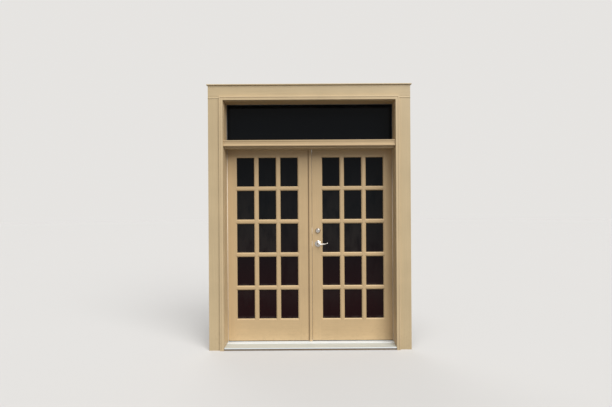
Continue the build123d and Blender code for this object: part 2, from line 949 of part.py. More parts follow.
def lever_arm():
    """Waved arm of even depth, with a round tip and long edges that are broken."""
    top = [(x, middle + half) for x, middle, half in lever_stations]
    bottom = [(x, middle - half) for x, middle, half in reversed(lever_stations)]
    tip_x, tip_middle, tip_half = lever_stations[-1]
    wave = Spline(*top) + ThreePointArc(top[-1], (tip_x + tip_half, tip_middle), bottom[0])
    wave += Spline(*bottom) + Line(bottom[-1], top[0])
    back = leaf_front - lever_reach + lever_arm_depth / 2
    side = Plane(origin=(lock_x, back, lever_z), x_dir=(1, 0, 0), z_dir=(0, -1, 0))
    arm = extrude(side * make_face(wave), amount=lever_arm_depth)
    faces = arm.faces().sort_by(Axis.Y)
    long_edges = [face.edges().sort_by(SortBy.LENGTH)[-2:] for face in (faces[0], faces[-1])]
    return chamfer(long_edges[0] + long_edges[1], lever_arm_chamfer)


def lever_outside():
    front = leaf_front - lever_reach - lever_arm_depth / 2 - lever_neck_chamfer
    neck = rod_y(lever_neck_radius, lock_x, lever_z, front, leaf_front)
    neck = chamfer(neck.edges().group_by(Axis.Y)[0], lever_neck_chamfer)
    return neck + lever_arm() - spindle_socket()


def spindle_socket():
    half = spindle_width / 2
    y0 = leaf_front - spindle_bite
    return box(lock_x - half, lock_x + half, y0, leaf_front, lever_z - half, lever_z + half)


def spindle():
    half = spindle_width / 2
    y0 = leaf_front - spindle_bite
    y1 = jamb_depth + spindle_bite
    return box(lock_x - half, lock_x + half, y0, y1, lever_z - half, lever_z + half)


# Deadbolt trim


def deadbolt_collar():
    """Tapered collar outside, with a body that enters the cross bore."""
    hole = plug_radius + plug_clearance
    profile = outline(
        (hole, -collar_body_depth),
        (collar_body_radius, -collar_body_depth),
        (collar_body_radius, 0),
        (collar_radius, 0),
        (collar_radius, collar_lip),
        (collar_face_radius, collar_projection),
        (hole, collar_projection),
    )
    return turned(profile, deadbolt_z)


def deadbolt_plug():
    """Key plug with its keyway, and the flat tail that drives the bolt."""
    y0 = leaf_front - collar_projection
    y1 = leaf_front + collar_body_depth
    plug = rod_y(plug_radius, lock_x, deadbolt_z, y0, y1)
    half_w = keyway_width / 2
    half_h = keyway_height / 2
    z0, z1 = deadbolt_z - half_h, deadbolt_z + half_h
    plug -= box(lock_x - half_w, lock_x + half_w, y0, y0 + keyway_depth, z0, z1)
    tail_end = jamb_depth + tail_bite
    return plug + tail_box(0, y1, tail_end)


def tail_box(clearance, y0, y1):
    half_w = tail_width / 2 + clearance
    half_t = tail_thickness / 2 + clearance
    return box(lock_x - half_t, lock_x + half_t, y0, y1, deadbolt_z - half_w, deadbolt_z + half_w)


def turn_plate():
    """Round plate indoors that the thumb turn runs in."""
    y1 = jamb_depth + turn_plate_thickness
    plate = rod_y(turn_plate_radius, lock_x, deadbolt_z, jamb_depth, y1)
    plate = chamfer(plate.edges().group_by(Axis.Y)[-1], turn_plate_chamfer)
    hole = turn_stem_radius + plug_clearance
    return plate - rod_y(hole, lock_x, deadbolt_z, jamb_depth, y1)


def thumb_turn():
    y0 = jamb_depth
    y1 = jamb_depth + turn_plate_thickness + turn_grip_bite
    stem = rod_y(turn_stem_radius, lock_x, deadbolt_z, y0, y1)
    grip = SlotOverall(turn_grip_length, turn_grip_thickness)
    face = Plane(origin=(lock_x, y1, deadbolt_z), x_dir=(0, 0, 1), z_dir=(0, 1, 0))
    paddle = extrude(face * grip, amount=turn_grip_depth)
    return stem + paddle - tail_box(bolt_setback / 2, y0, jamb_depth + tail_bite)


# Placing the leaves


def in_left(solid):
    return Pos(-leaf_centre, 0, 0) * solid


def in_right(solid):
    return Pos(leaf_centre, 0, 0) * solid


def hinge_stile_left():
    stile = in_left(stile_left())
    for mortise in at_hinges(hinge_plate(-leaf_edge, 1)):
        stile -= mortise
    return stile


def meeting_stile_right():
    return in_right(stile_left()) - lock_bores(lever_z) - lock_bores(deadbolt_z)


def left_and_right(name, solids):
    """The same plain pieces in both leaves."""
    return {
        "left_" + name: group([in_left(solid) for solid in solids]),
        "right_" + name: group([in_right(solid) for solid in solids]),
    }


def frame_nodes():
    frame_leaf = hinge_leaf(0, -rabbet_face, -1)
    plates = at_hinges(frame_leaf) + at_hinges(mirrored(frame_leaf))
    pins = at_hinges(hinge_pin()) + at_hinges(mirrored(hinge_pin()))
    seals = [seal_left(), mirrored(seal_left()), seal_head()]
    fillets = [mirrored(casing_fillet_right()), casing_fillet_right()]
    return {
        "jamb_left": jamb_left(),
        "jamb_right": mirrored(jamb_left()),
        "head_jamb": head_jamb(),
        "transom_bar": transom_bar(),
        "transom_bar_cover": transom_bar_cover(),
        "transom_pane": transom_pane(),
        "transom_beads": group(transom_beads()),
        "sill_base": sill_base(),
        "sill_deck": sill_deck(),
        "sill_cap": sill_cap(),
        "border_left": mirrored(border_right()),
        "border_right": border_right(),
        "border_head": border_head(),
        "casing_left": mirrored(casing_right()),
        "casing_right": casing_right(),
        "casing_head": casing_head(),
        "casing_fillets": group(fillets),
        "head_cap": head_cap(),
        "door_seals": group(seals),
        "flush_bolt_keepers": group(bolt_keepers()),
        "hinge_frame_leaves": group(plates),
        "hinge_pins": group(pins),
    }


def leaf_nodes():
    door_leaf = hinge_leaf(1, -leaf_edge, 1)
    nodes = {
        "left_hinge_stile": hinge_stile_left(),
        "left_meeting_stile": in_left(mirrored(stile_left())),
        "right_hinge_stile": mirrored(hinge_stile_left()),
        "right_meeting_stile": meeting_stile_right(),
        "left_hinge_leaves": group(at_hinges(door_leaf)),
        "right_hinge_leaves": group(at_hinges(mirrored(door_leaf))),
    }
    nodes.update(left_and_right("top_rail", [top_rail()]))
    nodes.update(left_and_right("bottom_rail", [bottom_rail()]))
    nodes.update(left_and_right("upright_bars", upright_bars()))
    nodes.update(left_and_right("cross_bars", cross_bars()))
    nodes.update(left_and_right("panes", panes()))
    nodes.update(left_and_right("glazing_beads", glazing_beads()))
    nodes.update(left_and_right("bottom_sweep", [bottom_sweep()]))
    return nodes


def hardware_nodes():
    return {
        "astragal": astragal(),
        "astragal_seal": group(astragal_seal()),
        "strike_plates": group(strikes()),
        "flush_bolt_top": flush_bolt(high_bolt_end(), -1),
        "flush_bolt_bottom": flush_bolt(low_bolt_end(), 1),
        "latch_case": latch_case(),
        "latch_bolt": latch_bolt(),
        "deadbolt_case": deadbolt_case(),
        "deadbolt": deadbolt(),
        "rose_outside": rose_outside(),
        "rose_inside": mid_leaf_mirror(rose_outside()),
        "lever_outside": lever_outside(),
        "lever_inside": mid_leaf_mirror(lever_outside()),
        "lever_spindle": spindle(),
        "deadbolt_collar": deadbolt_collar(),
        "deadbolt_plug": deadbolt_plug(),
        "turn_plate": turn_plate(),
        "thumb_turn": thumb_turn(),
    }


def main():
    os.makedirs("parts", exist_ok=True)
    nodes = frame_nodes()
    nodes.update(leaf_nodes())
    nodes.update(hardware_nodes())
    for name, shape in nodes.items():
        export_step(shape, "parts/" + name + ".step")


main()
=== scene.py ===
import math

import bmesh
import bpy
from bpy.props import FloatProperty, FloatVectorProperty, IntProperty, PointerProperty
from mathutils import Matrix, Vector


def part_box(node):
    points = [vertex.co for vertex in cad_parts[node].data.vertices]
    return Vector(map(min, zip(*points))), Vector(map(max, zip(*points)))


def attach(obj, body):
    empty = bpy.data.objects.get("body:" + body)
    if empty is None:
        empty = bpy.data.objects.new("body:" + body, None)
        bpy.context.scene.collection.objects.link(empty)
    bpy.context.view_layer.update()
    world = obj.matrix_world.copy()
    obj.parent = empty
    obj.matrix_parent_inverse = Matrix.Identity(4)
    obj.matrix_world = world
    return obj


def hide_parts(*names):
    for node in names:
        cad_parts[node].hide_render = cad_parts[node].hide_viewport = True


bl_info = {
    "name": "French Doors",
    "version": (1, 0, 0),
    "blender": (4, 5, 0),
    "location": "3D View > Sidebar > Doors",
    "description": "Finishes a pair of glazed doors in their frame and sets a studio round them",
    "category": "Object",
}

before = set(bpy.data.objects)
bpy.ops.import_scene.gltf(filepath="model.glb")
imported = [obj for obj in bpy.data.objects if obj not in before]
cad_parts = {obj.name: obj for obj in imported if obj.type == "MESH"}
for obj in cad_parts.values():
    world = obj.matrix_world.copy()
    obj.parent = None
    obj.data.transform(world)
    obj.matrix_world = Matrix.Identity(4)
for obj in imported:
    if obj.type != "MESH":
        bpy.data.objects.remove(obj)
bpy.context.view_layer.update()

MM = 0.001

# Sizes that the boxes of the CAD nodes don't give. A bite is how far a pane's edge reaches behind
# the wood round it.
LITE_COLUMNS = 3
LITE_ROWS = 5
UPRIGHT_BAR = 47 * MM
CROSS_BAR = 44.5 * MM
PANE_BITE = 8 * MM
TRANSOM_BITE = 9.7 * MM
POST_SHOULDER = 12 * MM
SEAL_SPACE = 8 * MM
HINGE_HEIGHT = 101.6 * MM
PLATE_HEIGHT = 57.15 * MM
KEEPER_THICKNESS = 2 * MM


def middle_of(node):
    """Centre of a CAD node's box."""
    low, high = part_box(node)
    return (low + high) / 2


# Shader helpers


class Wire:
    """The output of a shader node. Arithmetic on it becomes Math nodes."""

    def __init__(self, board, socket):
        self.board = board
        self.socket = socket

    def __add__(self, other):
        return self.board.maths("ADD", self, other)

    def __radd__(self, other):
        return self.board.maths("ADD", other, self)

    def __sub__(self, other):
        return self.board.maths("SUBTRACT", self, other)

    def __rsub__(self, other):
        return self.board.maths("SUBTRACT", other, self)

    def __mul__(self, other):
        return self.board.maths("MULTIPLY", self, other)

    def __rmul__(self, other):
        return self.board.maths("MULTIPLY", other, self)

    def __truediv__(self, other):
        return self.board.maths("DIVIDE", self, other)

    def __rtruediv__(self, other):
        return self.board.maths("DIVIDE", other, self)

    def __abs__(self):
        return self.board.maths("ABSOLUTE", self)

    def __floor__(self):
        return self.board.maths("FLOOR", self)


class Board:
    """A node tree that a finish is wired up on."""

    def __init__(self, tree):
        self.tree = tree

    def add(self, kind, settings=None, values=None, output=0):
        """Adds a node, makes its settings first, then feeds its sockets."""
        node = self.tree.nodes.new(kind)
        for name, value in (settings or {}).items():
            setattr(node, name, value)
        for name, value in (values or {}).items():
            self.feed(self.find(node.inputs, name), value)
        return Wire(self, self.find(node.outputs, output))

    def find(self, sockets, name):
        usable = [socket for socket in sockets if socket.enabled]
        if isinstance(name, int):
            return usable[name]
        return next(socket for socket in usable if socket.name == name)

    def feed(self, socket, value):
        if isinstance(value, Wire):
            self.tree.links.new(value.socket, socket)
        else:
            socket.default_value = value

    def maths(self, operation, *values):
        return self.add("ShaderNodeMath", {"operation": operation}, dict(enumerate(values)))

    def mix(self, factor, first, second):
        """Colour between two colours."""
        settings = {"data_type": "RGBA"}
        return self.add("ShaderNodeMix", settings, {"Factor": factor, "A": first, "B": second})


class Finish(Board):
    """A material under way: its Principled shader, and patterns by the place on a piece."""

    def __init__(self, name):
        self.material = bpy.data.materials.new(name)
        self.material.use_nodes = True
        super().__init__(self.material.node_tree)
        self.shader = self.tree.nodes["Principled BSDF"]
        self.place = self.add("ShaderNodeTexCoord", output="Object")

    def set(self, **values):
        """Feeds the shader's sockets: an underscore in a name stands for a space."""
        for name, value in values.items():
            self.feed(self.shader.inputs[name.replace("_", " ")], value)
        return self.material

    def clouds(self, scale, detail, roughness, place=None):
        """Soft noise of one size."""
        place = place or self.place
        values = {"Vector": place, "Scale": scale, "Detail": detail, "Roughness": roughness}
        return self.add("ShaderNodeTexNoise", {"normalize": True}, values)

    def streaks(self, scales, detail, roughness):
        """Noise drawn out along the axes whose scale is small."""
        place = self.add("ShaderNodeMapping", None, {"Vector": self.place, "Scale": scales})
        return self.clouds(1.0, detail, roughness, place)

    def axis(self, name, place=None):
        """One coordinate of the place."""
        return self.add("ShaderNodeSeparateXYZ", None, {"Vector": place or self.place}, name)

    def band(self, value, low, high):
        """0 below the low value, 1 above the high one, smooth between."""
        settings = {"interpolation_type": "SMOOTHSTEP", "clamp": True}
        values = {"Value": value, "From Min": low, "From Max": high}
        return self.add("ShaderNodeMapRange", settings, values)

    def vector(self, operation, values):
        return self.add("ShaderNodeVectorMath", {"operation": operation}, values)

    def corners(self, reach):
        """0 on open faces and up to 1 in corners, as far out as the reach: the mask by which shade
        is painted into corners.
        """
        return 1 - self.add("ShaderNodeAmbientOcclusion", {"samples": 6}, {"Distance": reach}, "AO")

    def bump(self, height, distance, arris=0.0):
        """Relief in metres, over edges that are eased by a small radius."""
        values = {"Height": height, "Distance": distance, "Strength": 1.0}
        if arris:
            values["Normal"] = self.add("ShaderNodeBevel", {"samples": 4}, {"Radius": arris})
        return self.add("ShaderNodeBump", None, values)


def tint(colour, factor=1.0):
    """The same colour, lighter or darker, with its alpha."""
    return (*[channel * factor for channel in colour[:3]], 1.0)


def along_grain(axis, run, cross):
    """Scales of streaks that run along a board, which lies along X or stands along Z."""
    return (run, cross, cross) if axis == "X" else (cross, cross, run)


# Settings


def colour_value(name, description, default):
    return FloatVectorProperty(
        name=name, description=description, default=default,
        subtype="COLOR", size=3, min=0.0, max=1.0,
    )


def length_value(name, description, default):
    return FloatProperty(
        name=name, description=description, default=default,
        subtype="DISTANCE", unit="LENGTH", min=0.0,
    )


def angle_value(name, description, degrees):
    return FloatProperty(
        name=name, description=description, default=math.radians(degrees),
        subtype="ANGLE", unit="ROTATION",
    )


def share_value(name, description, default):
    return FloatProperty(
        name=name, description=description, default=default,
        subtype="FACTOR", min=0.0, max=1.0,
    )


def strength_value(name, description, default):
    return FloatProperty(name=name, description=description, default=default, min=0.0)


class PaintSettings(bpy.types.PropertyGroup):
    """Colours and texture of the painted wood."""

    leaf_colour: colour_value(
        "Leaves", "Paint on both leaves and the post", (0.555, 0.400, 0.222)
    )
    # A lighter copy of the paint, which paints light onto the jambs' reveals.
    lit_jamb_colour: colour_value("Jambs", "Paint on the two jambs", (0.590, 0.448, 0.268))
    # A darker copy of the paint, which paints shade onto the head, the bar and its beads.
    shaded_frame_colour: colour_value(
        "Head and bar", "Paint on the head, the bar and the beads above it", (0.525, 0.385, 0.220)
    )
    border_colour: colour_value(
        "Border", "Paint on the raised border round the opening", (0.590, 0.455, 0.275)
    )
    casing_colour: colour_value(
        "Casing", "Paint on the flat boards and the cap", (0.545, 0.425, 0.255)
    )
    # The sill's paint; on the deck's nose it also gives a painted highlight.
    sill_colour: colour_value("Sill", "Paint on the sill and its nose", (0.66, 0.70, 0.72))
    # A darker paint for the sill's sloping part.
    deck_colour: colour_value(
        "Sill slope", "Worn paint on the sill's sloping part", (0.47, 0.49, 0.46)
    )
    base_colour: colour_value("Sill base", "Paint on the board under the sill", (0.38, 0.27, 0.17))
    timber_colour: colour_value(
        "Bare timber", "Unpainted faces that a wall would hide", (0.60, 0.42, 0.22)
    )
    # Colour of dust in corners, also used for the painted shade in corners and in the post's
    # groove.
    dirt_and_shade_colour: colour_value("Grime", "Dust that settles in corners", (0.20, 0.13, 0.07))
    arris: length_value("Eased edge", "Radius of the sanded edges of painted boards", 1.2 * MM)
    brush_relief: length_value("Brush relief", "Height of the brush marks", 0.25 * MM)


class GlassSettings(bpy.types.PropertyGroup):
    """The look of the panes: dark tints that paint the shade of the room behind and reflections in
    the glass, and the sealant round them.
    """

    # Dark tint of the panes: painted shade of the room behind, bluish at the top as painted
    # reflection.
    high_shade_and_reflection: colour_value(
        "High panes", "Tint at the top of the doors", (0.0025, 0.0035, 0.005)
    )
    # Reddish at the foot: painted shade with a painted reflection.
    low_shade_and_reflection: colour_value("Low panes", "Tint at the foot of the doors", (0.011, 0.0015, 0.0025))
    # Nearly opaque, so that the dark tints stand for the room behind: painted shade.
    cover: share_value("Cover", "How little of what is behind shows through", 0.997)
    sealant: length_value("Sealant", "Leg of the sealant line round each pane", 1.8 * MM)


class HardwareSettings(bpy.types.PropertyGroup):
    """Metal colours and screw sizes."""

    nickel_colour: colour_value(
        "Nickel", "Polished metal of the lever and deadbolt", (0.52, 0.49, 0.455)
    )
    steel_colour: colour_value("Steel", "Brushed metal of hinges and plates", (0.56, 0.53, 0.48))
    screw_radius: length_value("Screw head", "Radius of a countersunk screw head", 4.2 * MM)
    screw_rise: length_value("Screw rise", "How far a screw head stands proud", 0.45 * MM)
    screw_sides: IntProperty(
        name="Screw sides", description="Sides of a screw head's rim", default=24, min=8,
    )


class StageSettings(bpy.types.PropertyGroup):
    """Camera, floor and lights."""

    camera_place: FloatVectorProperty(
        name="Camera", description="Place of the camera", default=(0.0846, -4.2246, 1.4302),
        subtype="TRANSLATION", unit="LENGTH", size=3,
    )
    focal_length: FloatProperty(
        name="Focal length", description="Lens length in millimetres", default=24.18, min=1.0,
    )
    yaw: angle_value("Yaw", "Turn of the camera to the left", -0.07)
    roll: angle_value("Roll", "Turn of the camera about its own axis", -0.35)
    shift: FloatVectorProperty(
        name="Shift", description="Lens shift across and up, for the photograph's crop",
        default=(-0.0204, 0.0106), size=2,
    )
    floor_radius: length_value("Floor radius", "Radius of the studio floor", 60.0)
    floor_colour: colour_value("Floor", "Colour of the studio floor", (0.565, 0.56, 0.555))
    floor_bounce: share_value(
        "Floor bounce", "Share of its light that the floor throws up at the doors", 0.28
    )
    key_strength: strength_value("Key strength", "Strength of the main light", 2.3)
    key_turn: angle_value("Key turn", "How far to the right the main light stands", 31)
    key_rise: angle_value("Key rise", "How high the main light stands", 36)
    key_spread: angle_value(
        "Key spread", "Width of the main light, which softens its shadows", 45
    )
    top_strength: strength_value("Top strength", "Strength of the broad light overhead", 1.8)
    top_rise: angle_value("Top rise", "How high the overhead light stands", 70)
    top_spread: angle_value("Top spread", "Width of the overhead light", 30)
    back_strength: strength_value(
        "Back strength", "Strength of the weak light on the indoor side", 0.9
    )
    back_turn: angle_value("Back turn", "Where the back light stands, round to the right", 200)
    back_rise: angle_value("Back rise", "How high the back light stands", 22)
    back_spread: angle_value("Back spread", "Width of the back light", 50)
    sky_level: strength_value("Sky level", "Strength of the even light all round", 0.33)


class DoorSettings(bpy.types.PropertyGroup):
    """All settings of the doors."""

    paint: PointerProperty(type=PaintSettings)
    glass: PointerProperty(type=GlassSettings)
    hardware: PointerProperty(type=HardwareSettings)
    stage: PointerProperty(type=StageSettings)


def settings():
    return bpy.context.scene.french_doors


# Finishes


# Colours that no setting changes
WORN_PAINT = (0.46, 0.44, 0.39, 1.0)
# Lighter grey of the smear and painted reflection on the middle panes.
PANE_SMEAR_AND_REFLECTION = (0.028, 0.024, 0.022, 1.0)
PANE_DUST = (0.30, 0.27, 0.23, 1.0)
FOAM = (0.62, 0.60, 0.54, 1.0), (0.80, 0.79, 0.74, 1.0)
LIP = (0.80, 0.70, 0.58, 1.0), (0.90, 0.82, 0.72, 1.0)
LIP_DUST = (0.42, 0.36, 0.28, 1.0)
PILE = (0.16, 0.15, 0.13, 1.0), (0.42, 0.40, 0.36, 1.0)
RUBBER = (0.018, 0.016, 0.014, 1.0)
RUBBER_DUST = (0.16, 0.14, 0.12, 1.0)
# Grey-blue of the fixed light's sealant, which also paints the reveal's reflection in the glass.
SEALANT_AND_REFLECTION_GREY = (0.165, 0.18, 0.205)

# How far out of a corner the painted shade and dirt reach
WOOD_CORNER = 35 * MM
SILL_CORNER = 30 * MM
METAL_CORNER = 14 * MM

# Heights in metres: splashes on the frame's foot, and dust above a pane's low edge
SPLASH_FOOT, SPLASH_TOP = 0.02, 0.34
DUST_FOOT, DUST_TOP = 0.008, 0.045

# Slope of a pane in its rabbet
PANE_LEAN = 0.012


def bare_timber(finish, along):
    """Colour of planed softwood, its grain along the board."""
    rings = finish.streaks(along_grain(along, 2.2, 34.0), 3.0, 0.5) * 7
    line = finish.band(rings - math.floor(rings), 0.1, 0.9)
    timber = settings().paint.timber_colour
    return finish.mix(line, tint(timber, 0.78), tint(timber, 1.1))


def painted_wood(name, colour, along="Z", hidden=None, groove=None):
    """Satin paint brushed along a board, bare on a face against the wall, with painted shade and
    dirt in its corners and painted shade and dust in a groove.
    """
    paint = settings().paint
    finish = Finish(name)
    brush = finish.streaks(along_grain(along, 3.0, 110.0), 4.0, 0.62)
    grain = finish.streaks(along_grain(along, 1.05, 38.5), 2.0, 0.4)
    peel = finish.clouds(420.0, 2.0, 0.5)
    cloud = finish.clouds(2.6, 4.0, 0.55)
    dust = finish.clouds(38.0, 5.0, 0.65)
    tone = finish.band(cloud * 0.55 + brush * 0.3 + grain * 0.15, 0.34, 0.66)
    base = finish.mix(tone, tint(colour, 0.925), tint(colour, 1.05))
    # Painted shade in corners from the occlusion mask, mixed with patchy dirt; it goes into the
    # paint below together with the splashes at the foot.
    dirt_and_shade = finish.band(finish.corners(WOOD_CORNER) * (0.55 + dust * 0.9), 0.42, 1.15) * 0.38
    low = finish.band(finish.axis("Z"), SPLASH_TOP, SPLASH_FOOT)
    splash = low * finish.band(dust, 0.46, 0.75) * 0.16
    base = finish.mix(dirt_and_shade + splash, base, tint(paint.dirt_and_shade_colour))
    if hidden:
        axis, start, end = hidden
        depth = finish.axis(axis)
        if axis == "X":
            depth = abs(depth)
        base = finish.mix(finish.band(depth, start, end), base, bare_timber(finish, along))
    # Painted shade and dust in the groove beside the post's raised face.
    if groove:
        edge, face = groove
        beside = finish.band(finish.axis("X"), edge + 0.6 * MM, edge - 0.6 * MM)
        sunk = finish.band(finish.axis("Y"), face - 1 * MM, face + 1 * MM)
        groove_shade = tint(paint.dirt_and_shade_colour, 1.3)
        base = finish.mix(beside * sunk * (0.5 + dust * 0.4), base, groove_shade)
    relief = brush * 0.55 + grain * 0.3 + peel * 0.15
    return finish.set(
        Base_Color=base,
        Roughness=0.31 + brush * 0.16 + dirt_and_shade * 0.3,
        Specular_IOR_Level=0.45,
        Normal=finish.bump(relief, paint.brush_relief, paint.arris),
    )


def sill_paint(name, colour, nose=None):
    """Sill paint, scuffed where feet cross it, with painted shade and dirt in its corners and a
    painted highlight along its nose.
    """
    paint = settings().paint
    finish = Finish(name)
    streak = finish.streaks((4.0, 60.0, 60.0), 5.0, 0.65)
    scuff = finish.streaks((30.0, 120.0, 60.0), 6.0, 0.7)
    cloud = finish.clouds(7.0, 4.0, 0.6)
    trodden = 0.25 + finish.band(abs(finish.axis("X")), 0.8, 0.1) * 0.5
    worn = finish.band(scuff, 0.52, 0.74) * trodden + finish.band(streak, 0.55, 0.8) * 0.2
    # Painted shade and patchy dirt in the sill's corners.
    dirt_and_shade = finish.band(finish.corners(SILL_CORNER) * (0.6 + cloud), 0.45, 1.2) * 0.25
    base = finish.mix(cloud, tint(colour, 0.96), tint(colour, 1.03))
    base = finish.mix(worn * 0.3, base, WORN_PAINT)
    # A band along the nose in the sill's lighter colour: a painted highlight.
    if nose is not None:
        nose_highlight = finish.band(finish.axis("Y"), nose + 2 * MM, nose + 0.5 * MM)
        base = finish.mix(nose_highlight, base, tint(paint.sill_colour))
    base = finish.mix(dirt_and_shade, base, tint(paint.dirt_and_shade_colour))
    return finish.set(
        Base_Color=base,
        Roughness=0.34 + worn * 0.35,
        Normal=finish.bump(streak * 0.6 + scuff * 0.4, 0.2 * MM, paint.arris),
    )


def leaning_normal(finish, chance):
    """The normal of a pane that leans a hair to the side that its chance values give."""
    centred = finish.vector("SUBTRACT", {0: chance, 1: (0.5, 0.5, 0.5)})
    lean = finish.vector("SCALE", {0: centred, "Scale": PANE_LEAN})
    facing = finish.add("ShaderNodeNewGeometry", output="Normal")
    return finish.vector("NORMALIZE", {0: finish.vector("ADD", {0: facing, 1: lean})})


def tinted_glass(name, low_corner, pitch):
    """Dark glass whose panes each lie a hair out of plane, with dust along their low edges; its
    dark tints paint the shade of the room behind and reflections in the glass, and a lighter veil
    on the middle panes is smear and painted reflection.
    """
    glass = settings().glass
    finish = Finish(name)
    height = finish.axis("Z")
    cell_x = (finish.axis("X") - low_corner[0]) / pitch[0]
    cell_z = (height - low_corner[1]) / pitch[1]
    row = math.floor(cell_z)
    cell = finish.add("ShaderNodeCombineXYZ", None, {"X": math.floor(cell_x), "Y": row, "Z": 0.5})
    white_noise = {"noise_dimensions": "3D"}
    chance = finish.add("ShaderNodeTexWhiteNoise", white_noise, {"Vector": cell}, "Color")
    wave = finish.clouds(5.0, 1.0, 0.4)
    smear = finish.streaks((14.0, 14.0, 5.0), 4.0, 0.6)
    film = finish.clouds(160.0, 4.0, 0.6)
    edge = finish.band((cell_z - row) * pitch[1], DUST_TOP, DUST_FOOT)
    dusty = edge * finish.band(smear + film * 0.3, 0.45, 0.85)
    # Painted shade of the room behind, with painted reflections: reddish towards the foot, bluish
    # towards the top.
    upper = finish.band(height, 0.35, 1.45)
    base = finish.mix(upper, tint(glass.low_shade_and_reflection), tint(glass.high_shade_and_reflection))
    # A lighter veil on the middle panes: smear and painted reflection.
    middle = finish.band(height, 2.05, 1.2) * finish.band(height, 0.25, 0.75)
    smear_and_reflection = finish.axis("X", chance) * middle * finish.band(smear, 0.25, 0.6) * 0.5
    base = finish.mix(smear_and_reflection, base, PANE_SMEAR_AND_REFLECTION)
    base = finish.mix(dusty * 0.12, base, PANE_DUST)
    ripple = {"Height": wave, "Distance": 1.5 * MM, "Normal": leaning_normal(finish, chance)}
    return finish.set(
        Base_Color=base,
        Roughness=0.015 + finish.band(smear, 0.5, 0.8) * 0.05 + dusty * 0.3,
        IOR=1.5,
        Specular_IOR_Level=0.09,
        Alpha=glass.cover,
        Normal=finish.add("ShaderNodeBump", None, ripple),
    )


def polished_nickel(name):
    """Bright warm metal with faint rubbing marks, a little haze, and tarnish with painted shade in
    its corners.
    """
    nickel = settings().hardware.nickel_colour
    finish = Finish(name)
    haze = finish.clouds(55.0, 4.0, 0.6)
    rub = finish.streaks((900.0, 60.0, 900.0), 3.0, 0.6)
    base = finish.mix(haze, tint(nickel, 0.92), tint(nickel, 1.06))
    # Darkening in corners, from the occlusion mask: tarnish and painted shade.
    tarnish_and_shade = finish.band(finish.corners(METAL_CORNER) * (0.7 + haze * 0.6), 0.3, 0.95)
    return finish.set(
        Base_Color=finish.mix(tarnish_and_shade * 0.75, base, tint(nickel, 0.22)),
        Metallic=1.0,
        Roughness=0.12 + finish.band(haze, 0.45, 0.75) * 0.08 + rub * 0.04 + tarnish_and_shade * 0.15,
        Normal=finish.bump(rub, 0.01 * MM, 0.4 * MM),
    )


def brushed_steel(name, along):
    """Satin steel with fine scratches one way."""
    steel = settings().hardware.steel_colour
    finish = Finish(name)
    scratch = finish.streaks(along_grain(along, 30.0, 1400.0), 3.0, 0.7)
    cloud = finish.clouds(40.0, 4.0, 0.6)
    return finish.set(
        Base_Color=finish.mix(cloud * 0.6 + scratch * 0.4, tint(steel, 0.8), tint(steel, 1.15)),
        Metallic=1.0,
        Roughness=0.26 + scratch * 0.16 + finish.band(cloud, 0.5, 0.8) * 0.12,
        Normal=finish.bump(scratch, 0.02 * MM, 0.3 * MM),
    )


def seal_foam(name):
    """Pale foam skin of the rabbet seals."""
    finish = Finish(name)
    cells = {"Vector": finish.place, "Scale": 900.0}
    pore = finish.add("ShaderNodeTexVoronoi", None, cells, "Distance")
    cloud = finish.clouds(9.0, 4.0, 0.6)
    return finish.set(
        Base_Color=finish.mix(cloud, *FOAM),
        Roughness=0.62 + cloud * 0.15,
        Normal=finish.bump(pore, 0.12 * MM),
    )


def lip_skin(name):
    """Smooth pale skin of the seals' lips, a little dusty."""
    finish = Finish(name)
    dust = finish.clouds(45.0, 5.0, 0.65)
    base = finish.mix(finish.clouds(5.0, 3.0, 0.5), *LIP)
    return finish.set(
        Base_Color=finish.mix(finish.band(dust, 0.5, 0.8) * 0.4, base, LIP_DUST),
        Roughness=0.45 + dust * 0.2,
        Normal=finish.bump(dust, 0.1 * MM),
    )


def brush_pile(name):
    """Fine grey fibres of a brush seal."""
    finish = Finish(name)
    fibre = finish.streaks((60.0, 2200.0, 2200.0), 2.0, 0.7)
    return finish.set(
        Base_Color=finish.mix(fibre, *PILE),
        Roughness=0.85,
        Normal=finish.bump(fibre, 0.4 * MM),
    )


def black_rubber(name):
    """Dull black vinyl of the sweeps, dusted grey."""
    finish = Finish(name)
    dust = finish.clouds(60.0, 5.0, 0.65)
    rib = finish.streaks((3.0, 500.0, 500.0), 2.0, 0.5)
    return finish.set(
        Base_Color=finish.mix(finish.band(dust, 0.5, 0.8) * 0.5, RUBBER, RUBBER_DUST),
        Roughness=0.5 + dust * 0.25,
        Normal=finish.bump(rib, 0.1 * MM),
    )


def sealant_skin(name, colour):
    """Sealant skin, a little glossier than the paint beside it."""
    finish = Finish(name)
    lump = finish.clouds(130.0, 3.0, 0.5)
    return finish.set(
        Base_Color=finish.mix(lump, tint(colour, 0.82), tint(colour)),
        Roughness=0.28 + lump * 0.15,
        Normal=finish.bump(lump, 0.5 * MM),
    )


def coat(material, *nodes):
    """Gives the CAD nodes this material."""
    for name in nodes:
        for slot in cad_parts[name].material_slots:
            slot.material = material


def both_leaves(*names):
    return [side + name for side in ("left_", "right_") for name in names]


def hidden_face(axis, face):
    """Where a board turns bare, just short of a face that a wall hides."""
    return axis, face - 0.2 * MM, face - 0.1 * MM


class DOORS_OT_paint_leaves(bpy.types.Operator):
    """Paints the members of both leaves and the post between them"""

    bl_idname = "doors.paint_leaves"
    bl_label = "Paint Leaves"

    def execute(self, context):
        colour = settings().paint.leaf_colour
        upright = painted_wood("leaf paint upright", colour, "Z")
        across = painted_wood("leaf paint across", colour, "X")
        coat(upright, *both_leaves("hinge_stile", "meeting_stile", "upright_bars"))
        # The post's paint has painted shade and dust in the groove beside its raised face.
        stile_low, stile_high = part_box("left_meeting_stile")
        groove = (stile_high.x + POST_SHOULDER, stile_low.y)
        coat(painted_wood("post paint", colour, "Z", groove=groove), "astragal")
        coat(across, *both_leaves("top_rail", "bottom_rail", "cross_bars", "glazing_beads"))
        return {"FINISHED"}


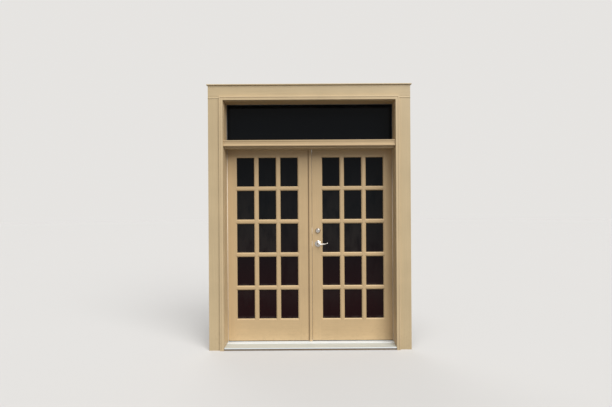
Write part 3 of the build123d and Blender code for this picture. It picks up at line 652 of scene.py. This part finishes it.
class DOORS_OT_paint_frame(bpy.types.Operator):
    """Paints the jambs, head, bar, sill base, border, casing and cap"""

    bl_idname = "doors.paint_frame"
    bl_label = "Paint Frame"

    def execute(self, context):
        paint = settings().paint
        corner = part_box("jamb_right")[1]
        back = hidden_face("X", corner.x)
        top = hidden_face("Z", corner.z)
        wall = hidden_face("Y", 0.0)
        # The jambs take the lighter copy of the paint: painted light on the reveals.
        coat(painted_wood("jamb paint", paint.lit_jamb_colour, "Z", back), "jamb_left", "jamb_right")
        # The head, the bar, its cover and its beads take the darker copy of the paint: painted
        # shade.
        coat(painted_wood("head paint", paint.shaded_frame_colour, "X", top), "head_jamb")
        across = painted_wood("frame paint across", paint.shaded_frame_colour, "X")
        coat(across, "transom_bar", "transom_bar_cover", "transom_beads")
        coat(painted_wood("sill base paint", paint.base_colour, "X"), "sill_base")
        upright = painted_wood("border paint upright", paint.border_colour, "Z", wall)
        coat(upright, "border_left", "border_right")
        coat(painted_wood("border paint across", paint.border_colour, "X", wall), "border_head")
        upright = painted_wood("casing paint upright", paint.casing_colour, "Z", wall)
        coat(upright, "casing_left", "casing_right")
        across = painted_wood("casing paint across", paint.casing_colour, "X", wall)
        coat(across, "casing_head", "casing_fillets", "head_cap")
        return {"FINISHED"}


class DOORS_OT_paint_sill(bpy.types.Operator):
    """Paints the sill's deck and cap"""

    bl_idname = "doors.paint_sill"
    bl_label = "Paint Sill"

    def execute(self, context):
        paint = settings().paint
        coat(sill_paint("cap paint", paint.sill_colour), "sill_cap")
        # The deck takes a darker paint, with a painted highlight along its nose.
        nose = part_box("sill_deck")[0].y
        coat(sill_paint("slope paint", paint.deck_colour, nose), "sill_deck")
        return {"FINISHED"}


class DOORS_OT_glaze(bpy.types.Operator):
    """Finishes the glass of the leaves and of the fixed light"""

    bl_idname = "doors.glaze"
    bl_label = "Glaze"

    def execute(self, context):
        for word, node, columns, rows in (
            ("left", "left_panes", LITE_COLUMNS, LITE_ROWS),
            ("right", "right_panes", LITE_COLUMNS, LITE_ROWS),
            ("transom", "transom_pane", 1, 1),
        ):
            low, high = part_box(node)
            pitch = ((high.x - low.x) / columns, (high.z - low.z) / rows)
            coat(tinted_glass(word + " glass", (low.x, low.z), pitch), node)
        return {"FINISHED"}


class DOORS_OT_finish_seals(bpy.types.Operator):
    """Finishes the foam seals, the post's brush and the sweeps"""

    bl_idname = "doors.finish_seals"
    bl_label = "Finish Seals"

    def execute(self, context):
        coat(seal_foam("seal foam"), "door_seals")
        coat(brush_pile("brush pile"), "astragal_seal")
        coat(black_rubber("sweep rubber"), *both_leaves("bottom_sweep"))
        return {"FINISHED"}


# Mesh helpers


# Corners nearer than this are one
WELD = 0.002 * MM


def new_object(name, data):
    """Makes an object and links it to the scene."""
    made = bpy.data.objects.new(name, data)
    bpy.context.scene.collection.objects.link(made)
    return made


def new_piece(name, shape, material, body):
    """Makes an object of a finished bmesh and lets it ride on a body."""
    bmesh.ops.recalc_face_normals(shape, faces=shape.faces)
    mesh = bpy.data.meshes.new(name)
    shape.to_mesh(mesh)
    shape.free()
    mesh.materials.append(material)
    piece = new_object(name, mesh)
    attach(piece, body)
    return piece


def join(shape, part):
    """Adds a finished bmesh to another one."""
    scratch = bpy.data.meshes.new("part")
    part.to_mesh(scratch)
    part.free()
    shape.from_mesh(scratch)
    bpy.data.meshes.remove(scratch)


def extruded(shape, faces, keep=False):
    """Extrudes faces in place and returns the new corners, ready to be moved."""
    made = bmesh.ops.extrude_face_region(shape, geom=faces, use_keep_orig=keep)["geom"]
    return [item for item in made if isinstance(item, bmesh.types.BMVert)]


def smooth_faces(shape):
    for face in shape.faces:
        face.smooth = True


def ease_edges(piece, width):
    """Rounds the sharp edges of a metal piece, and leaves its flat faces flat."""
    bevel = piece.modifiers.new("eased edges", "BEVEL")
    bevel.width = width
    bevel.segments = 3
    bevel.limit_method = "ANGLE"
    bevel.angle_limit = math.radians(35)
    bevel.harden_normals = True
    bevel.use_clamp_overlap = False


def smooth_copy(node, body, material, ease):
    """A copy of a CAD node with its triangles joined, its edges eased and its curves smooth."""
    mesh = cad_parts[node].data.copy()
    mesh.name = node + "_smooth"
    mesh.materials.clear()
    mesh.materials.append(material)
    shape = bmesh.new()
    shape.from_mesh(mesh)
    bmesh.ops.remove_doubles(shape, verts=shape.verts, dist=WELD)
    flat = math.radians(1)
    bmesh.ops.dissolve_limit(shape, angle_limit=flat, verts=shape.verts, edges=shape.edges)
    smooth_faces(shape)
    shape.to_mesh(mesh)
    shape.free()
    piece = new_object(node + "_smooth", mesh)
    ease_edges(piece, ease)
    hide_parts(node)
    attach(piece, body)


# Lever, roses and deadbolt


# Radius and rise from the leaf's face, in millimetres
ROSE_PROFILE = (
    (9.65, 0.0), (33.3, 0.0), (33.3, 1.6), (33.1, 2.3), (32.5, 2.9), (29.8, 4.0), (26.6, 5.1),
    (23.2, 6.2), (19.8, 7.2), (16.6, 8.0), (15.2, 8.3), (14.6, 8.6), (14.0, 9.0), (12.0, 9.0),
    (9.65, 9.0),
)
ROSE_SIDES = 72
COLLAR_PROFILE = (
    (6.58, 0.0), (28.5, 0.0), (28.5, 2.0), (28.35, 2.6), (28.0, 3.2), (27.4, 4.3), (24.4, 10.0),
    (21.5, 15.4), (21.1, 16.0), (20.6, 16.5), (19.9, 16.85), (19.0, 17.0), (15.2, 17.0),
    (14.9, 16.8), (14.6, 16.5), (14.3, 16.8), (14.0, 17.0), (7.4, 17.0), (6.9, 16.9), (6.6, 16.5),
)
COLLAR_SIDES = 96

# Along a lever: reach, distance from the leaf's face, height, half thickness and half height, in
# millimetres
LEVER_STATIONS = (
    (0.0, 1.0, 0.0, 9.3, 9.3),
    (0.0, 10.0, 0.0, 8.5, 8.5),
    (0.0, 22.0, 0.0, 8.1, 8.1),
    (0.2, 32.0, 0.0, 8.2, 8.4),
    (2.6, 40.4, -0.2, 7.8, 8.6),
    (9.0, 45.2, -0.9, 6.6, 8.5),
    (19.0, 46.4, -2.4, 5.4, 8.1),
    (33.0, 46.2, -4.0, 4.9, 7.6),
    (48.0, 46.0, -4.8, 4.8, 7.1),
    (62.0, 46.0, -3.6, 4.7, 6.7),
    (75.0, 46.0, -0.4, 4.6, 6.4),
    (87.0, 46.0, 3.9, 4.5, 6.0),
    (96.0, 46.0, 7.6, 4.1, 5.3),
    (101.0, 46.0, 9.7, 3.0, 3.9),
    (103.3, 46.0, 10.6, 1.2, 1.6),
)
LEVER_STEPS = 4
LEVER_SIDES = 24

# The thumb turn's grip is narrower than its stem by the inset on each side, stands the gap off its
# plate, and tapers to these shares of its width and height
GRIP_INSET = 1 * MM
GRIP_GAP = 0.5 * MM
GRIP_TAPER = (0.82, 1, 0.96)
TURN_SIDES = 48


def lock_axis():
    """Middle of the lever's spindle, in the middle of the leaf's thickness."""
    axis = middle_of("lever_spindle")
    axis.y = middle_of("right_meeting_stile").y
    return axis


def turned(profile, centre, face, sides):
    """Ring turned from a closed loop of points, on a face of the leaf."""
    outward = 1 if face > centre.y else -1
    shape = bmesh.new()
    verts = []
    for radius, rise in profile:
        place = (centre.x + radius * MM, face + outward * rise * MM, centre.z)
        verts.append(shape.verts.new(place))
    loop = [shape.edges.new((verts[i - 1], verts[i])) for i in range(len(verts))]
    bmesh.ops.spin(
        shape, geom=verts + loop, cent=centre, axis=(0, 1, 0), angle=math.tau, steps=sides,
        use_merge=True,
    )
    bmesh.ops.remove_doubles(shape, verts=shape.verts, dist=WELD)
    smooth_faces(shape)
    return shape


def eased_stations(stations, steps):
    """More stations between the given ones, on a smooth curve through them."""
    rows = [Vector(row) for row in stations]
    rows = [rows[0] * 2 - rows[1], *rows, rows[-1] * 2 - rows[-2]]
    eased = []
    for a, b, c, d in zip(rows, rows[1:], rows[2:], rows[3:]):
        slope = c - a
        bend = a * 2 - b * 5 + c * 4 - d
        twist = b * 3 - a - c * 3 + d
        for step in range(steps):
            t = step / steps
            eased.append(b + (slope * t + bend * t**2 + twist * t**3) * 0.5)
    return [*eased, rows[-2]]


def lever_shape(side):
    """A lever swept round its bend and along its waved arm: side is -1 outside, 1 inside."""
    axis = lock_axis()
    stile_low, stile_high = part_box("right_meeting_stile")
    face = stile_low.y if side < 0 else stile_high.y
    rows = eased_stations(LEVER_STATIONS, LEVER_STEPS)
    last = len(rows) - 1
    middles = []
    for row in rows:
        place = (axis.x + row[0] * MM, face + side * row[1] * MM, axis.z + row[2] * MM)
        middles.append(Vector(place))
    shape = bmesh.new()
    rings = []
    for index, (row, middle) in enumerate(zip(rows, middles)):
        ahead = (middles[min(index + 1, last)] - middles[max(index - 1, 0)]).normalized()
        across = ahead.cross(Vector((0, 0, 1))).normalized()
        rise = across.cross(ahead)
        section = Matrix((across * row[3] * MM, rise * row[4] * MM, ahead)).transposed()
        place = Matrix.Translation(middle) @ section.to_4x4()
        made = bmesh.ops.create_circle(
            shape, cap_ends=index in (0, last), segments=LEVER_SIDES, radius=1.0, matrix=place
        )
        ring = set(made["verts"])
        rings.append([e for e in shape.edges if e.verts[0] in ring and e.verts[1] in ring])
    for first, second in zip(rings, rings[1:]):
        bmesh.ops.bridge_loops(shape, edges=first + second)
    smooth_faces(shape)
    return shape


class DOORS_OT_polish_levers(bpy.types.Operator):
    """Makes the two levers, smooth and polished"""

    bl_idname = "doors.polish_levers"
    bl_label = "Polish Levers"

    def execute(self, context):
        nickel = polished_nickel("lever nickel")
        for side, word in ((-1, "outside"), (1, "inside")):
            shape = lever_shape(side)
            lever = new_piece("polished_lever_" + word, shape, nickel, "lever_set")
            smooth = lever.modifiers.new("smooth", "SUBSURF")
            smooth.levels = smooth.render_levels = 1
            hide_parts("lever_" + word)
        return {"FINISHED"}


class DOORS_OT_polish_roses(bpy.types.Operator):
    """Makes the two domed roses under the levers"""

    bl_idname = "doors.polish_roses"
    bl_label = "Polish Roses"

    def execute(self, context):
        nickel = polished_nickel("rose nickel")
        stile_low, stile_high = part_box("right_meeting_stile")
        for face, word in ((stile_low.y, "outside"), (stile_high.y, "inside")):
            shape = turned(ROSE_PROFILE, lock_axis(), face, ROSE_SIDES)
            rose = new_piece("domed_rose_" + word, shape, nickel, "right_leaf")
            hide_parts("rose_" + word)
        return {"FINISHED"}


def thumb_turn_shape():
    """Slot-shaped grip that narrows a little outwards, on a short round stem."""
    low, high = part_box("thumb_turn")
    plate_low, plate_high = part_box("turn_plate")
    centre = (low + high) / 2
    stem_radius = (high.x - low.x) / 2
    half_width = stem_radius - GRIP_INSET
    foot = plate_high.y + GRIP_GAP
    disc = {"cap_ends": True, "segments": TURN_SIDES}
    upright = Matrix.Rotation(-math.pi / 2, 4, "X")
    half_step = Matrix.Rotation(math.pi / TURN_SIDES, 4, "Z")
    shape = bmesh.new()
    place = Matrix.Translation((centre.x, foot, centre.z)) @ upright @ half_step
    made = bmesh.ops.create_circle(shape, radius=half_width, matrix=place, **disc)
    stretch = (high.z - low.z) / 2 - half_width
    for vert in made["verts"]:
        vert.co.z += math.copysign(stretch, vert.co.z - centre.z)
    rim = extruded(shape, shape.faces[:])
    bmesh.ops.translate(shape, verts=rim, vec=(0, high.y - foot, 0))
    bmesh.ops.scale(shape, verts=rim, vec=GRIP_TAPER, space=Matrix.Translation(-centre))
    place = Matrix.Translation((centre.x, plate_low.y, centre.z)) @ upright
    bmesh.ops.create_circle(shape, radius=stem_radius, matrix=place, **disc)
    inner = plate_low.y + 0.1 * MM
    stem = [face for face in shape.faces if face.calc_center_median().y < inner]
    top = extruded(shape, stem, keep=True)
    bmesh.ops.translate(shape, verts=top, vec=(0, foot - plate_low.y, 0))
    smooth_faces(shape)
    return shape


class DOORS_OT_polish_deadbolt(bpy.types.Operator):
    """Polishes the deadbolt's collar, plug, inside plate and thumb turn"""

    bl_idname = "doors.polish_deadbolt"
    bl_label = "Polish Deadbolt"

    def execute(self, context):
        nickel = polished_nickel("deadbolt nickel")
        axis = lock_axis()
        axis.z = middle_of("deadbolt_collar").z
        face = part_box("right_meeting_stile")[0].y
        shape = turned(COLLAR_PROFILE, axis, face, COLLAR_SIDES)
        collar = new_piece("turned_collar", shape, nickel, "right_leaf")
        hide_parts("deadbolt_collar")
        smooth_copy("turn_plate", "right_leaf", nickel, 0.8 * MM)
        shape = thumb_turn_shape()
        turn = new_piece("eased_thumb_turn", shape, nickel, "deadbolt_turn")
        ease_edges(turn, 1.6 * MM)
        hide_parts("thumb_turn")
        smooth_copy("deadbolt_plug", "deadbolt_turn", nickel, 0.25 * MM)
        return {"FINISHED"}


class DOORS_OT_brush_steel(bpy.types.Operator):
    """Finishes the hinges, plates, cases and bolts"""

    bl_idname = "doors.brush_steel"
    bl_label = "Brush Steel"

    def execute(self, context):
        upright = brushed_steel("steel upright", "Z")
        coat(upright, "hinge_frame_leaves", "hinge_pins", *both_leaves("hinge_leaves"))
        coat(upright, "strike_plates", "flush_bolt_top", "flush_bolt_bottom")
        across = brushed_steel("steel across", "X")
        coat(across, "latch_case", "deadbolt_case", "latch_bolt", "deadbolt", "lever_spindle")
        coat(across, "flush_bolt_keepers")
        return {"FINISHED"}


# Screws


# Parts of a screw head, as shares of its radius or rise
HEAD_TOP = 0.86
CROSS_HALF_WIDTH = 0.13
CROSS_REACH = 0.55
CROSS_DEPTH = 0.9

# Turn from one screw to the next, in radians
SCREW_TURN = 0.7

# Height above a hinge's middle and inset from its plate's edge, in millimetres
HINGE_HOLES = ((-38, 9), (-14, 18), (14, 9), (38, 18))

# Distance of a plate's screws from its middle
FACE_SCREW = 21.5 * MM
KEEPER_SCREW = 18 * MM
TURN_SCREW = 21.8 * MM

# The thumb turn's plate has screws of this share of the others' size
SMALL_SCREW = 0.8


def top_faces(head, rise):
    """Faces at the full rise of a screw head."""
    return [face for face in head.faces if face.calc_center_median().z > rise * 0.999]


def screw_head(shape, centre, outward, spin, size):
    """Adds a countersunk head with a cross recess, standing on a face that looks outward."""
    metal = settings().hardware
    radius, rise = metal.screw_radius * size, metal.screw_rise * size
    head = bmesh.new()
    bmesh.ops.create_circle(head, cap_ends=True, segments=metal.screw_sides, radius=radius)
    rim = extruded(head, head.faces[:])
    bmesh.ops.translate(head, verts=rim, vec=(0, 0, rise))
    bmesh.ops.scale(head, verts=rim, vec=(HEAD_TOP, HEAD_TOP, 1))
    half, reach = CROSS_HALF_WIDTH * radius, CROSS_REACH * radius
    for place in (-reach, -half, half, reach):
        for direction in ((1, 0, 0), (0, 1, 0)):
            cut = {}
            for face in top_faces(head, rise):
                cut.update(dict.fromkeys([face, *face.edges, *face.verts]))
            point = Vector(direction) * place
            bmesh.ops.bisect_plane(head, geom=list(cut), plane_co=point, plane_no=direction)
    slots = []
    for face in top_faces(head, rise):
        x, y, _ = (abs(value) for value in face.calc_center_median())
        if (x < half and y < reach) or (y < half and x < reach):
            slots.append(face)
    floor = extruded(head, slots)
    bmesh.ops.translate(head, verts=floor, vec=(0, 0, -rise * CROSS_DEPTH))
    bmesh.ops.delete(head, geom=slots, context="FACES")
    turn = Vector((0, 0, 1)).rotation_difference(outward).to_matrix().to_4x4()
    place = Matrix.Translation(centre) @ turn @ Matrix.Rotation(spin, 4, "Z")
    bmesh.ops.transform(head, matrix=place, verts=head.verts)
    join(shape, head)


def screws(name, places, outward, body, material, size=1.0):
    """One piece that holds every screw head of a group."""
    shape = bmesh.new()
    for index, place in enumerate(places):
        screw_head(shape, place, Vector(outward), SCREW_TURN * index, size)
    return new_piece(name, shape, material, body)


def hinge_screw_places(node, face_x):
    """Four holes on each hinge plate of one side, staggered across the plate."""
    low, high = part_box(node)
    half = HINGE_HEIGHT / 2
    places = []
    for height in (low.z + half, (low.z + high.z) / 2, high.z - half):
        for step, inset in HINGE_HOLES:
            places.append(Vector((face_x, low.y + inset * MM, height + step * MM)))
    return places


class DOORS_OT_hinge_screws(bpy.types.Operator):
    """Adds the screws of the six hinges"""

    bl_idname = "doors.hinge_screws"
    bl_label = "Hinge Screws"

    def execute(self, context):
        steel = brushed_steel("screw steel", "Z")
        leaf_face = -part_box("left_hinge_stile")[0].x
        jamb_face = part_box("transom_bar")[1].x
        for side, word in ((-1, "left"), (1, "right")):
            node, leaf, jamb = word + "_hinge_leaves", word + "_leaf", word + "_jamb"
            places = hinge_screw_places(node, side * leaf_face)
            screws(leaf + "_hinge_screws", places, (side, 0, 0), leaf, steel)
            places = hinge_screw_places(node, side * jamb_face)
            screws(jamb + "_hinge_screws", places, (-side, 0, 0), "frame", steel)
        return {"FINISHED"}


class DOORS_OT_plate_screws(bpy.types.Operator):
    """Adds the screws of the face plates, strikes, keepers and thumb turn"""

    bl_idname = "doors.plate_screws"
    bl_label = "Plate Screws"

    def execute(self, context):
        steel = brushed_steel("plate screw steel", "Z")
        pair = (-FACE_SCREW, FACE_SCREW)
        for node in ("latch_case", "deadbolt_case"):
            low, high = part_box(node)
            middle = (low + high) / 2
            places = [Vector((low.x, middle.y, middle.z + step)) for step in pair]
            screws(node + "_screws", places, (-1, 0, 0), "right_leaf", steel)
        low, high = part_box("strike_plates")
        centre_y = (low.y + high.y) / 2
        half = PLATE_HEIGHT / 2
        heights = [z + step for z in (low.z + half, high.z - half) for step in pair]
        places = [Vector((high.x, centre_y, height)) for height in heights]
        screws("strike_screws", places, (1, 0, 0), "left_leaf", steel)
        low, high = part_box("flush_bolt_keepers")
        centre_x = (low.x + high.x) / 2
        pair = (-KEEPER_SCREW, KEEPER_SCREW)
        for word, face, outward in (
            ("top", high.z - KEEPER_THICKNESS, (0, 0, -1)),
            ("sill", low.z + KEEPER_THICKNESS, (0, 0, 1)),
        ):
            places = [Vector((centre_x + step, centre_y, face)) for step in pair]
            screws(word + "_keeper_screws", places, outward, "frame", steel)
        low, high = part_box("turn_plate")
        middle = (low + high) / 2
        places = [Vector((middle.x, high.y, middle.z + step)) for step in (-TURN_SCREW, TURN_SCREW)]
        screws(
            "turn_plate_screws", places, (0, 1, 0), "right_leaf", steel, SMALL_SCREW
        )
        return {"FINISHED"}


# Sealant and seals


# The fixed light's line of sealant is this many times as wide as a leaf's; its width and grey-blue
# colour also paint the reveal's reflection in the glass
TRANSOM_SEALANT = 2.5

# Across the opening from the stop's face, and back from the stop's shoulder, in millimetres
SEAL_LIP = (
    (-3.0, 0.6), (0.6, 0.4), (3.4, 0.9), (4.5, 1.9), (4.4, 3.0), (3.2, 4.0), (0.6, 5.2),
    (-3.0, 5.8),
)
LIP_END_GAP = 0.5 * MM

# The pile: gaps at the leaf's ends and at the plates, its two faces back from the leaf's inside
# face, how far it stands out of the edge and into it, and its tufts
PILE_END_GAP = 4 * MM
PILE_PLATE_GAP = 2 * MM
PILE_FRONT = 9 * MM
PILE_BACK = 6 * MM
PILE_PROUD = 1.3 * MM
PILE_ROOT = 0.2 * MM
TUFT_PITCH = 6 * MM
TUFT_NOTCH = 0.35 * MM


def seal_ring(shape, low, high, leg):
    """Adds a ring of sealant round a pane: a three-cornered bead against the glass."""
    ring = bmesh.new()
    size = Matrix.Diagonal((high.x - low.x, high.z - low.z, 1, 1))
    place = Matrix.Translation((low + high) / 2) @ Matrix.Rotation(math.pi / 2, 4, "X") @ size
    bmesh.ops.create_grid(ring, x_segments=1, y_segments=1, size=0.5, matrix=place)
    pane = ring.faces[:]
    bmesh.ops.inset_region(ring, faces=pane, thickness=leg, use_boundary=True)
    bmesh.ops.delete(ring, geom=pane, context="FACES")
    near, far = low.x + leg / 2, high.x - leg / 2
    inner = [vert.co.copy() for vert in ring.verts if near < vert.co.x < far]
    crest = extruded(ring, ring.faces[:], keep=True)
    outer = [v for v in crest if all((v.co - corner).length > leg / 4 for corner in inner)]
    bmesh.ops.translate(ring, verts=outer, vec=(0, -leg, 0))
    bmesh.ops.remove_doubles(ring, verts=ring.verts, dist=leg / 100)
    bmesh.ops.recalc_face_normals(ring, faces=ring.faces)
    join(shape, ring)


def lite_boxes(side):
    """Corners of the clear glass of each lite of a leaf, on its outside face."""
    low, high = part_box(side + "_panes")
    clear_width = high.x - low.x - 2 * PANE_BITE - (LITE_COLUMNS - 1) * UPRIGHT_BAR
    clear_height = high.z - low.z - 2 * PANE_BITE - (LITE_ROWS - 1) * CROSS_BAR
    width, height = clear_width / LITE_COLUMNS, clear_height / LITE_ROWS
    boxes = []
    for column in range(LITE_COLUMNS):
        for row in range(LITE_ROWS):
            x = low.x + PANE_BITE + column * (width + UPRIGHT_BAR)
            z = low.z + PANE_BITE + row * (height + CROSS_BAR)
            boxes.append((Vector((x, low.y, z)), Vector((x + width, low.y, z + height))))
    return boxes


class DOORS_OT_seal_glass(bpy.types.Operator):
    """Adds the sealant line round every pane"""

    bl_idname = "doors.seal_glass"
    bl_label = "Seal Glass"

    def execute(self, context):
        leg = settings().glass.sealant
        skin = sealant_skin("glass sealant", settings().paint.leaf_colour)
        for side in ("left", "right"):
            shape = bmesh.new()
            for low, high in lite_boxes(side):
                seal_ring(shape, low, high, leg)
            new_piece(side + "_glass_sealant", shape, skin, side + "_leaf")
        low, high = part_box("transom_pane")
        foot = Vector((low.x + TRANSOM_BITE, low.y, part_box("transom_bar")[1].z))
        head = Vector((high.x - TRANSOM_BITE, low.y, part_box("head_jamb")[0].z))
        shape = bmesh.new()
        # A wide grey-blue bead round the fixed light: sealant, which also gives a painted
        # reflection of the reveal.
        seal_ring(shape, foot, head, TRANSOM_SEALANT * leg)
        grey = sealant_skin("grey sealant", SEALANT_AND_REFLECTION_GREY)
        new_piece("transom_sealant", shape, grey, "frame")
        return {"FINISHED"}


def seal_lip(start, end, side):
    """Soft lip of a foam seal, run up a stop from its foot to its top."""
    shape = bmesh.new()
    loop = [shape.verts.new(start + Vector((side * x * MM, y * MM, 0))) for x, y in SEAL_LIP]
    shape.faces.new(loop)
    far = extruded(shape, shape.faces[:], keep=True)
    bmesh.ops.translate(shape, verts=far, vec=end - start)
    for face in shape.faces:
        face.smooth = len(face.verts) == 4
    return shape


class DOORS_OT_seal_lips(bpy.types.Operator):
    """Adds the soft lips of the foam seals, where they show past the stops"""

    bl_idname = "doors.seal_lips"
    bl_label = "Seal Lips"

    def execute(self, context):
        foam = lip_skin("seal lip")
        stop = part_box("jamb_left")[1].x
        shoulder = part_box("left_hinge_stile")[0].y - SEAL_SPACE
        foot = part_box("sill_cap")[1].z + LIP_END_GAP
        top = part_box("transom_bar")[0].z - LIP_END_GAP
        for side, word in ((1, "left"), (-1, "right")):
            start = Vector((side * stop, shoulder, foot))
            end = Vector((side * stop, shoulder, top))
            shape = seal_lip(start, end, side)
            new_piece("seal_lip_" + word, shape, foam, "frame")
        return {"FINISHED"}


def brush_strip(shape, low, high):
    """Adds one stretch of pile: a flat strip whose free edge is combed into fine tufts."""
    strip = bmesh.new()
    length = high.z - low.z
    size = Matrix.Diagonal((*(high - low), 1))
    bmesh.ops.create_cube(strip, size=1.0, matrix=Matrix.Translation((low + high) / 2) @ size)
    uprights = [e for e in strip.edges if abs((e.verts[0].co - e.verts[1].co).z) > length / 2]
    cuts = int(length / TUFT_PITCH)
    bmesh.ops.subdivide_edges(strip, edges=uprights, cuts=cuts, use_grid_fill=True)
    for index, vert in enumerate(sorted(strip.verts, key=lambda v: (v.co.z, v.co.y))):
        if vert.co.x < low.x + 0.1 * MM and index % 4 < 2:
            vert.co.x += TUFT_NOTCH
    join(shape, strip)


class DOORS_OT_edge_brush(bpy.types.Operator):
    """Adds the pile strip on the edge of the leaf that closes against the post"""

    bl_idname = "doors.edge_brush"
    bl_label = "Edge Brush"

    def execute(self, context):
        stile_low, stile_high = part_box("right_meeting_stile")
        latch_low, latch_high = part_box("latch_case")
        bolt_low, bolt_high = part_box("deadbolt_case")
        spans = (
            (stile_low.z + PILE_END_GAP, latch_low.z - PILE_PLATE_GAP),
            (latch_high.z + PILE_PLATE_GAP, bolt_low.z - PILE_PLATE_GAP),
            (bolt_high.z + PILE_PLATE_GAP, stile_high.z - PILE_END_GAP),
        )
        shape = bmesh.new()
        for foot, top in spans:
            low = Vector((stile_low.x - PILE_PROUD, stile_high.y - PILE_FRONT, foot))
            high = Vector((stile_low.x + PILE_ROOT, stile_high.y - PILE_BACK, top))
            brush_strip(shape, low, high)
        pile = brush_pile("meeting pile")
        new_piece("meeting_brush", shape, pile, "right_leaf")
        return {"FINISHED"}


# Stage


LAMP_COLOUR = Vector((1.0, 0.985, 0.96))
SKY_COLOUR = Vector((0.985, 0.99, 1.0))
LAMP_PLACE = (2, -4, 3)


def background_ray(board):
    """1 where the camera, a reflection or clear glass looks, 0 for light that falls on things."""
    camera = board.add("ShaderNodeLightPath", output="Is Camera Ray")
    glossy = board.add("ShaderNodeLightPath", output="Is Glossy Ray")
    through = board.add("ShaderNodeLightPath", output="Is Transmission Ray")
    return board.maths("MAXIMUM", board.maths("MAXIMUM", camera, glossy), through)


def studio_floor(stage):
    """Pale floor disc, faintly clouded, that throws less light up than it shows."""
    finish = Finish("studio floor")
    cloud = finish.clouds(0.6, 3.0, 0.5)
    shown = finish.mix(cloud, tint(stage.floor_colour, 0.995), tint(stage.floor_colour, 1.005))
    thrown = tint(stage.floor_colour, stage.floor_bounce)
    base = finish.mix(background_ray(finish), thrown, shown)
    material = finish.set(Base_Color=base, Roughness=0.9, Specular_IOR_Level=0.0)
    shape = bmesh.new()
    bmesh.ops.create_circle(shape, cap_ends=True, segments=96, radius=stage.floor_radius)
    mesh = bpy.data.meshes.new("studio_floor")
    shape.to_mesh(mesh)
    shape.free()
    mesh.materials.append(material)
    floor = new_object("studio_floor", mesh)


def studio_sky(stage):
    """Even light all round, which shows as pale as the lit floor does."""
    world = bpy.data.worlds.new("studio")
    bpy.context.scene.world = world
    world.use_nodes = True
    sky = Board(world.node_tree)
    even = SKY_COLOUR * stage.sky_level
    lamps = (
        (stage.key_strength, stage.key_rise),
        (stage.top_strength, stage.top_rise),
        (stage.back_strength, stage.back_rise),
    )
    falling = sum(strength * math.sin(rise) for strength, rise in lamps)
    lit = LAMP_COLOUR * (falling / math.pi) + even
    pale = [channel * light for channel, light in zip(stage.floor_colour, lit)]
    background = world.node_tree.nodes["Background"]
    sky.feed(background.inputs["Color"], sky.mix(background_ray(sky), tint(even), tint(pale)))


def far_light(name, strength, spread, turn, rise):
    """Broad far light, turned to the right from the front and raised."""
    light = bpy.data.lights.new(name, "SUN")
    light.angle = spread
    light.energy = strength
    light.color = LAMP_COLOUR
    aim = Matrix.Rotation(turn, 4, "Z") @ Matrix.Rotation(math.pi / 2 - rise, 4, "X")
    new_object(name, light).matrix_world = Matrix.Translation(LAMP_PLACE) @ aim


def add_camera(stage):
    """Camera at the photograph's place, level, with its slight turn and roll."""
    data = bpy.data.cameras.new("camera")
    data.lens = stage.focal_length
    data.shift_x, data.shift_y = stage.shift
    camera = new_object("camera", data)
    turn = Matrix.Rotation(stage.yaw, 4, "Z")
    level = Matrix.Rotation(math.pi / 2, 4, "X")
    roll = Matrix.Rotation(stage.roll, 4, "Z")
    camera.matrix_world = Matrix.Translation(stage.camera_place) @ turn @ level @ roll
    bpy.context.scene.camera = camera


class DOORS_OT_build_stage(bpy.types.Operator):
    """Adds the floor, the lights and the camera"""

    bl_idname = "doors.build_stage"
    bl_label = "Build Stage"

    def execute(self, context):
        stage = settings().stage
        studio_floor(stage)
        studio_sky(stage)
        far_light("key", stage.key_strength, stage.key_spread, stage.key_turn, stage.key_rise)
        far_light("top", stage.top_strength, stage.top_spread, 0.0, stage.top_rise)
        far_light("back", stage.back_strength, stage.back_spread, stage.back_turn, stage.back_rise)
        add_camera(stage)
        context.scene.view_settings.view_transform = "Standard"
        return {"FINISHED"}


class DOORS_PT_panel(bpy.types.Panel):
    """Lists the steps that finish the doors"""

    bl_label = "French Doors"
    bl_idname = "DOORS_PT_panel"
    bl_space_type = "VIEW_3D"
    bl_region_type = "UI"
    bl_category = "Doors"

    def draw(self, context):
        for step in STEPS:
            self.layout.operator(step.bl_idname)


STEPS = (
    DOORS_OT_paint_leaves,
    DOORS_OT_paint_frame,
    DOORS_OT_paint_sill,
    DOORS_OT_glaze,
    DOORS_OT_finish_seals,
    DOORS_OT_polish_levers,
    DOORS_OT_polish_roses,
    DOORS_OT_polish_deadbolt,
    DOORS_OT_brush_steel,
    DOORS_OT_hinge_screws,
    DOORS_OT_plate_screws,
    DOORS_OT_seal_glass,
    DOORS_OT_seal_lips,
    DOORS_OT_edge_brush,
    DOORS_OT_build_stage,
)
GROUPS = (PaintSettings, GlassSettings, HardwareSettings, StageSettings, DoorSettings)
CLASSES = (*GROUPS, *STEPS, DOORS_PT_panel)


def register():
    for item in CLASSES:
        bpy.utils.register_class(item)
    bpy.types.Scene.french_doors = PointerProperty(type=DoorSettings)


def unregister():
    del bpy.types.Scene.french_doors
    for item in reversed(CLASSES):
        bpy.utils.unregister_class(item)


def main():
    register()
    bpy.ops.doors.paint_leaves()
    bpy.ops.doors.paint_frame()
    bpy.ops.doors.paint_sill()
    bpy.ops.doors.glaze()
    bpy.ops.doors.finish_seals()
    bpy.ops.doors.polish_levers()
    bpy.ops.doors.polish_roses()
    bpy.ops.doors.polish_deadbolt()
    bpy.ops.doors.brush_steel()
    bpy.ops.doors.hinge_screws()
    bpy.ops.doors.plate_screws()
    bpy.ops.doors.seal_glass()
    bpy.ops.doors.seal_lips()
    bpy.ops.doors.edge_brush()
    bpy.ops.doors.build_stage()


if __name__ == "__main__":
    main()
